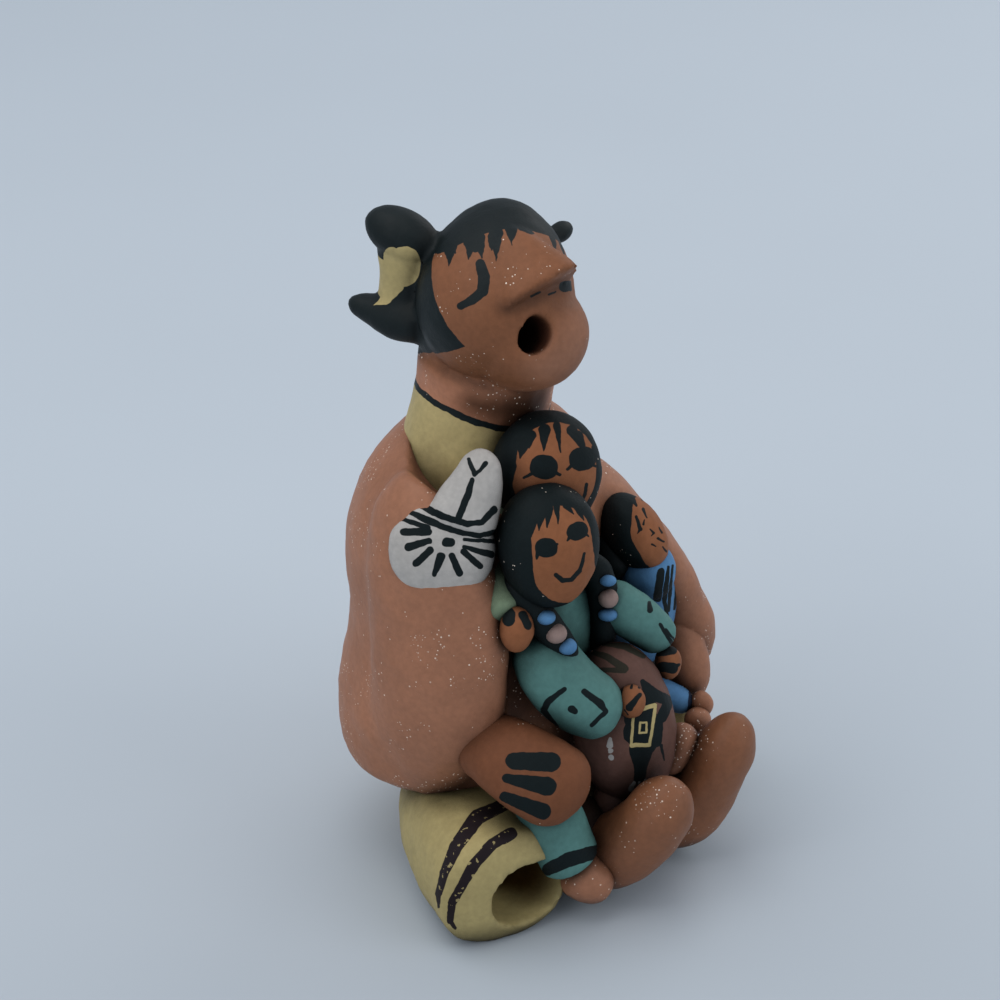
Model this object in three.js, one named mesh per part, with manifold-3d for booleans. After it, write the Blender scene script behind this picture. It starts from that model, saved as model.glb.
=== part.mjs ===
// A seated clay storyteller: a singing figure in a blanket with three children on the lap, a small
// painted pot and a white gourd on the shoulder, all of it one fired piece. It faces -Y, its left side
// is +X, millimetres, +Z up, standing on the ground plane.
//
// The pose is free form: every position below is in 124ths of the figure's height. Wall, bores and
// small fittings are real millimetres and follow the named sizes.
import * as THREE from 'three';
import { mergeVertices } from 'three/examples/jsm/utils/BufferGeometryUtils.js';
import Module from 'manifold-3d';

const figureHeight = 127;
const poseHeight = 124;
const mouthBore = 6.4;
const mouthDepth = 9;
const cuffWall = 5.6;
const cuffHollowDepth = 16;
const cuffHalfWidth = 12.8;
const cuffHalfHeight = 11.6;
const beadDiameter = 4;
const braidDiameter = 5.4;
const skinTolerance = 0.08;

const share = figureHeight / poseHeight;
const wasm = await Module();
wasm.setup();

const at = (p) => new THREE.Vector3(...p).multiplyScalar(share);

// Three axes as the columns of a turn: side, front and up of a form that looks along `front`.
function facing(front, up) {
  const n = new THREE.Vector3(...front).normalize();
  const side = new THREE.Vector3().crossVectors(new THREE.Vector3(...up), n).normalize();
  const top = new THREE.Vector3().crossVectors(n, side);
  return new THREE.Matrix4().makeBasis(side, n, top);
}

function solid(geometry) {
  const bare = geometry.clone();
  bare.deleteAttribute('normal');
  bare.deleteAttribute('uv');
  const merged = mergeVertices(bare, 1e-5);
  return new wasm.Manifold(new wasm.Mesh({
    numProp: 3,
    vertProperties: new Float32Array(merged.attributes.position.array),
    triVerts: new Uint32Array(merged.index.array),
  }));
}

// An egg: a sphere with its own radii along side, front and up, narrowed towards one end.
function egg(center, radii, { front = [0, -1, 0], up = [0, 0, 1], taper = 0, detail = 12 } = {}) {
  const geometry = new THREE.SphereGeometry(1, detail, Math.round(detail * 0.6));
  geometry.rotateX(Math.PI / 2);
  const position = geometry.attributes.position;
  const turn = facing(front, up);
  const middle = at(center);
  const point = new THREE.Vector3();
  for (let i = 0; i < position.count; i += 1) {
    point.fromBufferAttribute(position, i);
    const narrow = 1 - taper * point.z;
    point.set(-point.x * radii[0] * narrow, point.y * radii[1] * narrow, point.z * radii[2]);
    point.multiplyScalar(share).applyMatrix4(turn).add(middle);
    position.setXYZ(i, point.x, point.y, point.z);
  }
  return solid(geometry);
}

// Reads a list of stations at 0..1 with a smooth curve through them.
function along(values, t) {
  const last = values.length - 1;
  const i = Math.min(Math.floor(t * last), last - 1);
  const f = t * last - i;
  const p = [Math.max(i - 1, 0), i, i + 1, Math.min(i + 2, last)].map((k) => values[k]);
  const slope = [(p[2] - p[0]) / 2, (p[3] - p[1]) / 2];
  const f2 = f * f;
  const f3 = f2 * f;
  return p[1] * (2 * f3 - 3 * f2 + 1) + slope[0] * (f3 - 2 * f2 + f)
    + p[2] * (3 * f2 - 2 * f3) + slope[1] * (f3 - f2);
}

// A rolled limb of clay: oval sections along a curve, each end closed by a rounded cap whose length
// is a share of the curve. `wide` runs across the line and `deep` along `out`; `square` below 1 makes
// the sections boxier and `peak` narrows them on the outer side.
const CAP_RINGS = 0.24;
function limb(points, wide, deep, options = {}) {
  const { out = [0, 0, 1], caps = [0.2, 0.2], around = 12, rings = 8, square = 1, peak = 0 } = options;
  const curve = new THREE.CatmullRomCurve3(points.map(at));
  const geometry = new THREE.SphereGeometry(1, around, rings);
  const position = geometry.attributes.position;
  const outward = new THREE.Vector3(...out).normalize();
  const power = (v) => Math.sign(v) * Math.abs(v) ** square;
  const point = new THREE.Vector3();
  for (let i = 0; i < position.count; i += 1) {
    point.fromBufferAttribute(position, i);
    const row = Math.acos(THREE.MathUtils.clamp(point.y, -1, 1)) / Math.PI;
    const first = Math.min(row / CAP_RINGS, 1) * Math.PI / 2;
    const second = Math.min((1 - row) / CAP_RINGS, 1) * Math.PI / 2;
    const middle = THREE.MathUtils.clamp((row - CAP_RINGS) / (1 - 2 * CAP_RINGS), 0, 1);
    const t = caps[0] * (1 - Math.cos(first)) + (1 - caps[0] - caps[1]) * middle
      + caps[1] * Math.cos(second);
    const full = Math.sin(first) * Math.sin(second);
    const angle = Math.atan2(point.z, point.x);
    const tangent = curve.getTangent(t);
    const side = new THREE.Vector3().crossVectors(tangent, outward).normalize();
    const face = new THREE.Vector3().crossVectors(side, tangent).normalize();
    const s = power(Math.sin(angle));
    const c = -power(Math.cos(angle)) * (1 - peak * s);
    const spot = curve.getPoint(t)
      .addScaledVector(side, c * full * along(wide, t) * share)
      .addScaledVector(face, s * full * along(deep, t) * share);
    position.setXYZ(i, spot.x, spot.y, spot.z);
  }
  return solid(geometry);
}

const forms = {};
const toViewer = [-0.73, -0.46, 0.5];

// The singer's head leans back and turns to the right side; its own axes carry the face.
const headFront = [-0.294, -0.815, 0.499];
const headUp = [0.578, 0.262, 0.773];
const headCenter = [0, 0, 109.3];
const headTurn = facing(headFront, headUp);
function onHead(side, front, up) {
  const p = new THREE.Vector3(side, front, up).applyMatrix4(headTurn);
  return [headCenter[0] + p.x, headCenter[1] + p.y, headCenter[2] + p.z];
}

forms.head = egg(headCenter, [13.8, 14.4, 15.4], { front: headFront, up: headUp, taper: 0.15, detail: 20 });
forms.jaw = egg(onHead(2.2, 4.2, -6), [11.2, 10.8, 10.2], { front: headFront, up: headUp, detail: 16 });
forms.nose = limb([onHead(-0.4, 8.6, 10.6), onHead(-0.8, 12.4, 5), onHead(-1, 14.6, -2.2)],
  [3.4, 4.8, 6], [3, 4.2, 6], { out: headFront, caps: [0.25, 0.1], peak: 0.4 });
forms.neck = limb([[0, 7, 74], [0, 5, 88], [0, 2, 100]], [12.5, 11.2, 11.6], [12, 11, 11.4],
  { out: [0, -1, 0], around: 24 });

forms.bunTop = egg([-5, 18.5, 117], [4.6, 7, 4], { front: [-0.1, 0.9, 0.35] });
forms.bunWaist = limb([[-4, 16.5, 118], [-4, 16.5, 109], [-4, 17, 100]], [4.6, 4.4, 5.5], [6, 5, 6],
  { out: [0, 1, 0] });
forms.bunLow = egg([-6, 20, 100.5], [4.6, 9, 3.6], { front: [-0.1, 1, -0.1] });
forms.templeKnob = egg([12, -1.6, 115.2], [3.2, 2, 1.8], { front: [0, -1, 0] });

forms.shirt = limb([[0, 5, 60], [0, 5, 78], [0, 5, 93]], [24, 20, 10.5], [16, 15, 10.5],
  { out: [0, -1, 0], around: 18, caps: [0.2, 0.1] });
// Blanket: a bell round the back with a full flap over each arm.
forms.blanket = limb([[0, 5, 14], [0, 5, 31], [0, 5, 49], [0, 5, 66], [0, 5, 87]], [28, 30, 27.5, 28, 18],
  [21, 22.5, 20.4, 20.5, 13],
  { out: [0, -1, 0], caps: [0.12, 0.14], around: 26, rings: 13 });
forms.nearFlap = limb([[-18, 2, 84], [-23, 0, 68], [-25, -3, 50], [-25, -1, 20]], [9, 11.5, 13, 11], [8, 8.5, 8, 7],
  { out: [-1, -0.2, 0], around: 14, rings: 11 });
forms.farFlap = limb([[14, -5.1, 71], [21, -8.1, 58.3], [26, -12.4, 47.4], [29.5, -17, 37], [32.5, -22, 25]],
  [10, 13, 14, 11, 7], [7, 7, 7, 6, 5],
  { out: [1, -0.4, 0], around: 14, rings: 11 });

forms.seat = limb([[0, 13, 12], [0, 1, 12], [0, -12, 12]], [14, 18, 16], [13, 13, 12],
  { out: [0, 0, 1], around: 16, rings: 8, square: 0.8 });
forms.nearShin = limb([[-13, -4, 14], [-12, -16, 13], [-11, -30, 10]], [7, 7, 7], [8, 8, 7], { rings: 6 });
forms.farShin = limb([[9, -4, 14], [9, -16, 13], [9, -32, 10]], [7, 7, 7], [8, 8, 7], { rings: 6 });
// Wide trouser legs: thick slabs rolled round, open at the front, flat on the ground.
function cuff(hand) {
  const line = [[12, 5, 9], [17, 0, 10], [24, -10, 11], [31.5, -22.5, 11]];
  return limb(line.map(([x, y, z]) => [hand * x, y, z]), [8, 10, 12, cuffHalfWidth],
    [8.5, 10.5, 12, cuffHalfHeight], { caps: [0.2, 0.08], around: 18, rings: 9, square: 0.8 });
}
function cuffHollow(hand) {
  const mouth = [hand * 28.4, -25.5, 9.4];
  const inner = [hand * (28.4 - 0.3 * cuffHollowDepth), -25.5 + 0.94 * cuffHollowDepth, 10.2];
  const front = [hand * 30.4, -31.5, 9];
  const wide = cuffHalfWidth - cuffWall;
  const deep = cuffHalfHeight - cuffWall;
  return limb([front, mouth, inner], [wide, wide, wide * 0.8], [deep, deep, deep * 0.8],
    { caps: [0.06, 0.25], around: 16, rings: 7, square: 0.9 });
}
forms.nearCuff = cuff(-1);
forms.farCuff = cuff(1);

forms.nearHand = limb([[-22, -8, 33], [-25, -17, 34], [-25, -25, 32], [-23, -33, 27.5]], [5.5, 7, 8.2, 8.4],
  [4.5, 5, 5, 4.5], { out: [-0.7, -0.2, 0.6] });
forms.farHand = limb([[27, -14, 44], [26, -20, 36], [25, -23, 25]], [4, 4.5, 4], [4, 4.5, 4],
  { out: [0.7, -0.6, 0.2] });

forms.nearFoot = limb([[-12, -24, 8], [-11, -33, 8.4], [-10, -40, 15], [-9, -46.5, 24]], [6.5, 6.8, 6.6, 5.6],
  [7.4, 7.4, 6.6, 5.6], { out: [0, -0.7, -0.7] });
forms.farFoot = limb([[7, -26, 8], [8, -34, 8], [9.5, -39.5, 17], [11.5, -44, 31]], [6.5, 6.5, 6.2, 5.6],
  [7, 7, 6, 5.6], { out: [0, -0.8, -0.5] });

forms.lump = egg([-25.2, -5, 71.8], [9, 4.4, 8.4], { front: [-0.8, -0.5, 0.3] });
forms.lumpNeck = limb([[-24.8, -6.5, 75], [-21.3, -8.4, 81], [-18.8, -9.4, 85]], [7, 5, 3.4], [4, 3.4, 2.6],
  { out: [-0.8, -0.5, 0.3] });

forms.childAHead = egg([-7.2, -14.4, 81.4], [9.6, 8, 10.6], { front: [-0.5, -0.8, 0.25], detail: 16 });
forms.childABody = egg([-8, -8, 62], [11, 9, 14]);
forms.childAArm = limb([[-12, -8, 66], [-20, -12.5, 61.5], [-22, -15.5, 59.5]], [4, 4, 3.5], [4, 4, 3.5], { out: toViewer });
forms.childAHand = egg([-22.4, -17.4, 58], [3, 2.6, 4.2], { front: [-0.8, -0.5, 0.2] });

forms.childBHead = egg([-11, -18, 68], [9, 8, 12], { front: [-0.55, -0.8, 0.2], taper: -0.06, detail: 16 });
forms.childBBody = egg([-8, -16, 46], [10, 8, 15]);
forms.childBNearArm = limb([[-14, -16, 54], [-15.5, -20, 47.5], [-13, -25, 41], [-8, -30, 37.6]],
  [5, 6.4, 6.4, 5.6], [5, 6.2, 6.2, 5.4], { out: toViewer });
forms.childBNearHand = egg([-7, -32, 39.8], [3.2, 2.2, 3.4], { front: [-0.4, -0.85, 0.2] });
forms.childBFarArm = limb([[0, -20, 57], [3.5, -24, 52], [6.5, -27.5, 47.5], [7, -30, 44]], [4, 4.4, 4.2, 3.6],
  [4, 4.4, 4, 3.6], { out: toViewer });
forms.childBFarHand = egg([6, -30.7, 41], [2.8, 2.4, 3.4], { front: [-0.4, -0.85, 0.2] });
forms.childBLeg = limb([[-17, -18, 25], [-19, -24.5, 22.5], [-17.5, -28, 12.5], [-17, -29, 10.5]], [5.4, 6, 5.6, 5.4],
  [5, 5.4, 5, 5], { out: [-0.5, -0.8, 0.3] });
forms.childBNearFoot = limb([[-19, -26, 10], [-17, -28.7, 6.5], [-14.5, -30.5, 4.5]], [4.4, 4.6, 3.6], [4, 4.2, 3.4],
  { caps: [0.3, 0.3] });
forms.childBFarFoot = limb([[3, -30, 17], [5, -33.5, 22], [6, -34.8, 26]], [2.4, 2.6, 2.6], [2.4, 2.6, 2.6],
  { caps: [0.2, 0.3] });

forms.childCHead = egg([13.6, -17, 58], [6.6, 7.2, 8.6], { front: [0.1, -0.9, 0.3] });
forms.childCBody = egg([18.6, -18, 45], [7, 7, 12]);
forms.childCLeg = limb([[14, -12, 32], [17, -21, 27], [19.5, -28, 23.4]], [3.6, 3.6, 3.6], [3.6, 3.6, 3.6]);
forms.childCFoot = egg([19.6, -30, 23.6], [2.2, 2.2, 3.2], { front: [0, -1, 0] });

forms.pot = egg([-0.4, -27.4, 29.8], [8.7, 8.7, 15.4], { front: [-0.4, -0.9, 0] });

const braidBar = braidDiameter / 2 / share;
forms.nearBraid = limb([[-18.5, -13.5, 67], [-18.3, -17.5, 61], [-16, -21, 55], [-13.6, -24, 48.5]],
  [braidBar, braidBar, braidBar, braidBar * 0.8], [braidBar, braidBar, braidBar, braidBar * 0.8],
  { out: toViewer });
forms.farBraid = limb([[-2, -20, 64], [0, -22, 57], [0, -22.5, 50], [0, -21.5, 43]],
  [braidBar, braidBar, braidBar, braidBar], [braidBar, braidBar, braidBar, braidBar], { out: toViewer });
const bead = beadDiameter / 2 / share;
forms.beads = [[[-17.4, -20.4, 58.4], 0.85], [[-16.6, -22, 55], 1.1], [[-15.4, -23.2, 51.8], 0.85],
  [[-1, -24.2, 58.4], 0.75], [[-1, -24.8, 55], 0.95], [[-1, -24.6, 51.6], 0.8]]
  .map(([p, size]) => egg(p, [bead * size * 1.15, bead * size, bead * size * 0.95], { detail: 9 }))
  .reduce((all, one) => all.add(one));

const bore = mouthBore / 2 / share;
const mouth = limb([onHead(-2.6, 20, -10), onHead(-2.2, 15, -9.2), onHead(-1.4, 15 - mouthDepth, -7.8)],
  [bore, bore, bore * 0.85], [bore * 1.18, bore * 1.16, bore], { out: headUp, caps: [0.08, 0.25], around: 18 });

const group = new THREE.Group();
group.name = 'storyteller';

let figure = null;
for (const form of Object.values(forms)) {
  figure = figure ? figure.add(form) : form;
}
figure = figure.subtract(mouth).subtract(cuffHollow(-1)).subtract(cuffHollow(1));
figure = figure.trimByPlane([0, 0, 1], 0).simplify(skinTolerance);
// Pockets left between touching lumps of clay are closed: only the outer skin is kept.
figure = figure.decompose().reduce((best, one) => (one.volume() > best.volume() ? one : best));

// The origin is the middle of the box's underside.
const box = figure.boundingBox();
figure = figure.translate([
  -(box.min[0] + box.max[0]) / 2,
  -(box.min[1] + box.max[1]) / 2,
  -box.min[2],
]);

function mesh(body, name, colour) {
  const data = body.getMesh();
  const geometry = new THREE.BufferGeometry();
  geometry.setAttribute('position', new THREE.Float32BufferAttribute(data.vertProperties, 3));
  geometry.setIndex(new THREE.Uint32BufferAttribute(data.triVerts, 1));
  geometry.computeVertexNormals();
  const made = new THREE.Mesh(geometry, new THREE.MeshStandardMaterial({
    color: colour, roughness: 0.82, metalness: 0,
  }));
  made.name = name;
  return made;
}
group.add(mesh(figure, 'storyteller_figure', 0xb06a48));

export default group;
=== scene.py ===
# %% [markdown]
# A seated clay storyteller, about five inches tall: a singer wrapped in a blanket, three children
# and a small painted pot on the lap, and a white gourd laid on the shoulder. The real figure is
# pinched and rolled from one lump of soft clay, smoothed with a wet thumb, fired, and painted with
# flat mineral colours. Everything is built the same way here: simple rolls and balls are shaped,
# pressed together, softened, and painted.

# %% Load the frame
import math

import bmesh
import bpy
from mathutils import Matrix, Vector


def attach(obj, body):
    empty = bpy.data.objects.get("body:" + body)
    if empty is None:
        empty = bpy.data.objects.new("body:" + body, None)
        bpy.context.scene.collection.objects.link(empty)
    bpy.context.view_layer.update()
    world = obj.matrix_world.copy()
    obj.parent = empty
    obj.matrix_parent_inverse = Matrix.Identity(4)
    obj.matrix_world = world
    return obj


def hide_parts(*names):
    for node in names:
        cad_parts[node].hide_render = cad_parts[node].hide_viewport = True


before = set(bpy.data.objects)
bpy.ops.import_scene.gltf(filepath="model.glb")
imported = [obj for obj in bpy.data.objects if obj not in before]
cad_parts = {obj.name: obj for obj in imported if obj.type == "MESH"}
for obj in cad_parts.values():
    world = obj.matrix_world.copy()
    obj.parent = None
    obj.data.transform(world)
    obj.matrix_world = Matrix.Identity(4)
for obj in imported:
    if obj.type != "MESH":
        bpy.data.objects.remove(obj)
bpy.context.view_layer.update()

# %% [markdown]
# The clay body was laid out in parts of the figure's height, with the children in front of the
# chest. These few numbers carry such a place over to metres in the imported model's frame, so every
# form below can be placed by the same plain numbers that a sketch of the figure would have. The
# frame's origin lies under the middle of the whole figure, knees and all, so the sketch is moved
# back a little to meet it.

# %% Units and places
FIGURE_HEIGHT = 0.127
POSE_HEIGHT = 124
UNIT = FIGURE_HEIGHT / POSE_HEIGHT
MIDDLE_SHIFT = 0.01022
MM = 0.001


def at(place):
    return Vector(place) * UNIT + Vector((0, MIDDLE_SHIFT, 0))


def facing(front, up):
    ahead = Vector(front).normalized()
    side = Vector(up).cross(ahead).normalized()
    return Matrix((side, ahead, ahead.cross(side))).transposed()


print("one part of the height is", round(UNIT / MM, 4), "mm")

# %% [markdown]
# The camera stands where the photographer stood: in front of the figure's right shoulder, looking
# down at thirty degrees through a long lens, so that near and far parts keep their true sizes.
# A small shift frames the figure without turning the camera. The photo is a thousand pixels wide,
# and the pixel that the lens points at is kept, because marks are later read off by pixel.

# %% Camera
VIEW_BACK = Vector((-0.7344, -0.4589, 0.5)).normalized()
VIEW_TARGET = Vector((0, MIDDLE_SHIFT, 0.06145))
VIEW_DISTANCE = 0.6145
VIEW_WIDTH = 0.1839
SENSOR = 36.0
NEAREST = 0.01
CAMERA_AT = VIEW_TARGET + VIEW_BACK * VIEW_DISTANCE
UPRIGHT = Vector((0, 0, 1))
VIEW_RIGHT = UPRIGHT.cross(VIEW_BACK).normalized()
VIEW_UP = VIEW_BACK.cross(VIEW_RIGHT)
PHOTO_WIDTH = 1000
PHOTO_MIDDLE = (500, 538)

camera_data = bpy.data.cameras.new("camera")
camera_data.sensor_width = SENSOR
camera_data.lens = SENSOR * VIEW_DISTANCE / VIEW_WIDTH
camera_data.shift_y = (PHOTO_MIDDLE[1] - PHOTO_WIDTH / 2) / PHOTO_WIDTH
camera_data.clip_start = NEAREST
camera = bpy.data.objects.new("camera", camera_data)
camera.location = CAMERA_AT
camera.rotation_euler = VIEW_BACK.to_track_quat("Z", "Y").to_euler()
bpy.context.scene.collection.objects.link(camera)
bpy.context.scene.camera = camera
print("lens", round(camera_data.lens, 1), "mm")

# %% [markdown]
# The figure is lit as in a small light tent: an even pale sky all round, a broad soft panel above,
# and weaker ones in front and on both sides. Square panels turned to the figure are the simplest
# soft lights, and their edges never show on dry clay.

# %% Tent of light
SKY_COLOUR = (0.80, 0.88, 1.0, 1)
SKY_STRENGTH = 0.47
NEAR_WHITE = (1.0, 0.97, 0.94)
PANELS = {
    "top_panel": {"place": (-0.15, 0.25, 0.95), "size": 0.9, "power": 4.0, "colour": (1.0, 0.98, 0.96)},
    "front_panel": {"place": (0.1, -0.9, 0.55), "size": 0.7, "power": 1.8, "colour": NEAR_WHITE},
    "far_panel": {"place": (0.75, -0.1, 0.45), "size": 0.6, "power": 1.3, "colour": NEAR_WHITE},
    "side_panel": {"place": (-0.8, 0.2, 0.45), "size": 0.6, "power": 1.2, "colour": NEAR_WHITE},
}


def panel(name, place, size, power, colour):
    light = bpy.data.lights.new(name, "AREA")
    light.shape = "RECTANGLE"
    light.size, light.size_y = size, size
    light.energy = power
    light.color = colour
    lamp = bpy.data.objects.new(name, light)
    lamp.location = place
    lamp.rotation_euler = (Vector(place) - VIEW_TARGET).to_track_quat("Z", "Y").to_euler()
    bpy.context.scene.collection.objects.link(lamp)


bpy.context.scene.view_settings.view_transform = "Standard"
world = bpy.data.worlds.new("tent")
bpy.context.scene.world = world
world.use_nodes = True
sky = world.node_tree.nodes["Background"]
sky.inputs["Color"].default_value = SKY_COLOUR
sky.inputs["Strength"].default_value = SKY_STRENGTH
for name, settings in PANELS.items():
    panel(name, **settings)
print("panels", round(sum(settings["power"] for settings in PANELS.values()), 1), "W in all")

# %% [markdown]
# Every finish is wired from small nodes. A socket takes either another node's result or a plain
# number, and these two helpers hide that difference.

# %% Wiring nodes
def feed(tree, socket, value):
    if isinstance(value, bpy.types.NodeSocket):
        tree.links.new(value, socket)
    else:
        socket.default_value = value


def node(tree, kind, settings=None, **inputs):
    made = tree.nodes.new(kind)
    for key, value in (settings or {}).items():
        setattr(made, key, value)
    for key, value in inputs.items():
        feed(tree, made.inputs[key], value)
    return made


print("wiring helpers for", bpy.app.version_string)

# %% [markdown]
# With a helper for each kind of sum, the recipes below read as sums. The graded helper turns one
# range of values into another, for fades, grain and soft edges, and noise gives an uneven pattern.

# %% Sums, fades and noise
def number(tree, operation, *values, clamp=False):
    made = node(tree, "ShaderNodeMath", {"operation": operation, "use_clamp": clamp})
    for socket, value in zip(made.inputs, values):
        feed(tree, socket, value)
    return made.outputs[0]


def vector(tree, operation, *values):
    made = node(tree, "ShaderNodeVectorMath", {"operation": operation})
    for socket, value in zip(made.inputs, values):
        feed(tree, socket, value)
    return made.outputs["Value" if operation in ("DOT_PRODUCT", "DISTANCE") else "Vector"]


def scaled(tree, value, share):
    made = node(tree, "ShaderNodeVectorMath", {"operation": "SCALE"}, Scale=share)
    feed(tree, made.inputs[0], value)
    return made.outputs["Vector"]


def graded(tree, value, from_low, from_high, to_low=0.0, to_high=1.0, kind="LINEAR"):
    made = node(tree, "ShaderNodeMapRange", {"interpolation_type": kind}, Value=value)
    limits = {"From Min": from_low, "From Max": from_high, "To Min": to_low, "To Max": to_high}
    for name, limit in limits.items():
        feed(tree, made.inputs[name], limit)
    return made.outputs["Result"]


def noise(tree, place, scale, detail=2.0, output="Fac", **more):
    return node(tree, "ShaderNodeTexNoise", Vector=place, Scale=scale, Detail=detail, **more).outputs[output]


print("made helpers for sums, fades and noise")

# %% [markdown]
# The floor is one wide pale sheet, so no horizon shows. It darkens a little towards one side, as
# paper does where the tent's light falls off, and a faint grain keeps it from looking computed.

# %% Pale sheet
SHEET_TONE = (0.57, 0.635, 0.695)
SHEET_FALLS_FROM = (0.73, 0.46, 0.0)
SHEET_FALL = {"from_low": -0.06, "from_high": 0.12, "to_low": 0.84, "to_high": 0.96}
SHEET_GRAIN_SCALE = 9.0
SHEET_GRAIN_DEPTH = 0.05
SHEET_ROUGHNESS = 0.75
SHEET_SIZE = 6


def sheet_finish():
    material = bpy.data.materials.new("pale_sheet")
    material.use_nodes = True
    tree = material.node_tree
    shader = tree.nodes["Principled BSDF"]
    place = node(tree, "ShaderNodeTexCoord").outputs["Object"]
    fade = graded(tree, vector(tree, "DOT_PRODUCT", place, SHEET_FALLS_FROM), kind="SMOOTHSTEP", **SHEET_FALL)
    grain = noise(tree, place, SHEET_GRAIN_SCALE)
    tone = number(tree, "MULTIPLY_ADD", grain, SHEET_GRAIN_DEPTH, fade)
    tree.links.new(scaled(tree, SHEET_TONE, tone), shader.inputs["Base Color"])
    shader.inputs["Roughness"].default_value = SHEET_ROUGHNESS
    return material


bpy.ops.object.select_all(action="DESELECT")
bpy.ops.mesh.primitive_grid_add(x_subdivisions=4, y_subdivisions=4, size=SHEET_SIZE)
floor = bpy.context.object
floor.name = "floor"
floor.data.materials.append(sheet_finish())
print("sheet", SHEET_SIZE, "m wide")

# %% [markdown]
# An operator acts on all that is selected, so each step starts with nothing selected. A modifier
# is put on one lump and applied at once, as one would by hand before going on to the next lump.

# %% One step at a time
def start_fresh():
    if bpy.context.object and bpy.context.object.mode != "OBJECT":
        bpy.ops.object.mode_set(mode="OBJECT")
    bpy.ops.object.select_all(action="DESELECT")


def take_up(piece):
    start_fresh()
    piece.select_set(True)
    bpy.context.view_layer.objects.active = piece


def finish_with(piece, kind, **settings):
    take_up(piece)
    bpy.ops.object.modifier_add(type=kind)
    modifier = piece.modifiers[-1]
    for key, value in settings.items():
        setattr(modifier, key, value)
    bpy.ops.object.modifier_apply(modifier=modifier.name)


start_fresh()
print("objects selected", len(bpy.context.selected_objects))

# %% [markdown]
# A rolled limb bends and swells along its length. Both are read off a few places by a smooth
# curve: one that passes through each place for the line, and one through each radius.

# %% Lines that bend
CLOSEST = 1e-6


def along(values, share):
    last = len(values) - 1
    step = min(int(share * last), last - 1)
    x = share * last - step
    before, start, end, after = (values[k] for k in (max(step - 1, 0), step, step + 1, min(step + 2, last)))
    slope_in, slope_out = (end - before) / 2, (after - start) / 2
    return (start * (2 * x**3 - 3 * x**2 + 1) + slope_in * (x**3 - 2 * x**2 + x)
            + end * (3 * x**2 - 2 * x**3) + slope_out * (x**3 - x**2))


def smooth_line(points, share):
    step = min(int(share * (len(points) - 1)), len(points) - 2)
    first = points[0] * 2 - points[1]
    final = points[-1] * 2 - points[-2]
    nearby = [first, *points, final][step:step + 4]
    knots = [0.0]
    for start, end in zip(nearby, nearby[1:]):
        knots.append(knots[-1] + max((end - start).length, CLOSEST) ** 0.5)
    reached = knots[1] + (share * (len(points) - 1) - step) * (knots[2] - knots[1])

    def between(start, end, low, high):
        return start * ((high - reached) / (high - low)) + end * ((reached - low) / (high - low))

    legs = [between(nearby[k], nearby[k + 1], knots[k], knots[k + 1]) for k in range(3)]
    bends = [between(legs[k], legs[k + 1], knots[k], knots[k + 2]) for k in range(2)]
    return between(*bends, knots[1], knots[2])


print("half way between radii 1, 2 and 4 is", along((1, 2, 4), 0.5))

# %% [markdown]
# A rolled limb is a row of sections along its line. Each has a place, a width, a depth and a
# direction, which one matrix holds. The sections crowd together at both ends, where the roll
# closes in a round cap.

# %% Sections of a roll
FORWARD = (0, -1, 0)
CAP_STEPS = (0.12, 0.38, 0.64, 0.84, 0.96)
LOOK_AHEAD = 0.01


def sections(points, wide, deep, out, caps, middle_count):
    line = [at(p) for p in points]
    near_cap = [(1 - math.cos(c * math.pi / 2), math.sin(c * math.pi / 2)) for c in CAP_STEPS]
    span = 1 - caps[0] - caps[1]
    stops = [(caps[0] * share, full) for share, full in near_cap]
    stops += [(caps[0] + span * k / middle_count, 1.0) for k in range(middle_count + 1)]
    stops += [(1 - caps[1] * share, full) for share, full in reversed(near_cap)]
    placed = []
    for t, full in stops:
        ahead = smooth_line(line, min(t + LOOK_AHEAD, 1)) - smooth_line(line, max(t - LOOK_AHEAD, 0))
        side = ahead.cross(Vector(out)).normalized()
        face = side.cross(ahead).normalized()
        turn = Matrix((side * along(wide, t) * UNIT * full, face * along(deep, t) * UNIT * full,
                       ahead.normalized() * UNIT)).transposed().to_4x4()
        placed.append(Matrix.Translation(smooth_line(line, t)) @ turn)
    return placed


print("rings in each cap", len(CAP_STEPS))

# %% [markdown]
# The roll itself starts as a disc of clay that is drawn out from section to section, as the hands
# draw out a coil. The disc's outline is kept all the way, so a boxy roll only needs a boxy first
# disc, and extruding keeps the whole skin in clean rings.

# %% Rolls
def roll(points, wide, deep, out=(0, 0, 1), caps=(0.2, 0.2), square=1.0, around=16, middle_count=6):
    start_fresh()
    bpy.ops.mesh.primitive_circle_add(vertices=around, radius=1, fill_type="NGON")
    piece = bpy.context.object
    bpy.ops.object.mode_set(mode="EDIT")
    bpy.ops.mesh.select_all(action="SELECT")
    mesh = bmesh.from_edit_mesh(piece.data)
    for corner in mesh.verts:
        corner.co.xy = [math.copysign(abs(c) ** square, c) for c in corner.co.xy]
    places = sections(points, wide, deep, out, caps, middle_count)
    bmesh.ops.transform(mesh, matrix=places[0], verts=mesh.verts)
    for before, after in zip(places, places[1:]):
        bpy.ops.mesh.extrude_region_move()
        mesh = bmesh.from_edit_mesh(piece.data)
        moved = [corner for corner in mesh.verts if corner.select]
        bmesh.ops.transform(mesh, matrix=after @ before.inverted(), verts=moved)
    bpy.ops.mesh.select_all(action="SELECT")
    bpy.ops.mesh.normals_make_consistent(inside=False)
    bpy.ops.object.mode_set(mode="OBJECT")
    finish_with(piece, "SUBSURF", levels=1, render_levels=1)
    return piece


# %% [markdown]
# Heads, bodies and beads start as balls. Each is narrowed towards one end and flattened by the
# palm while it is turned to its place, which is what the three radii and the taper do.

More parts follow.
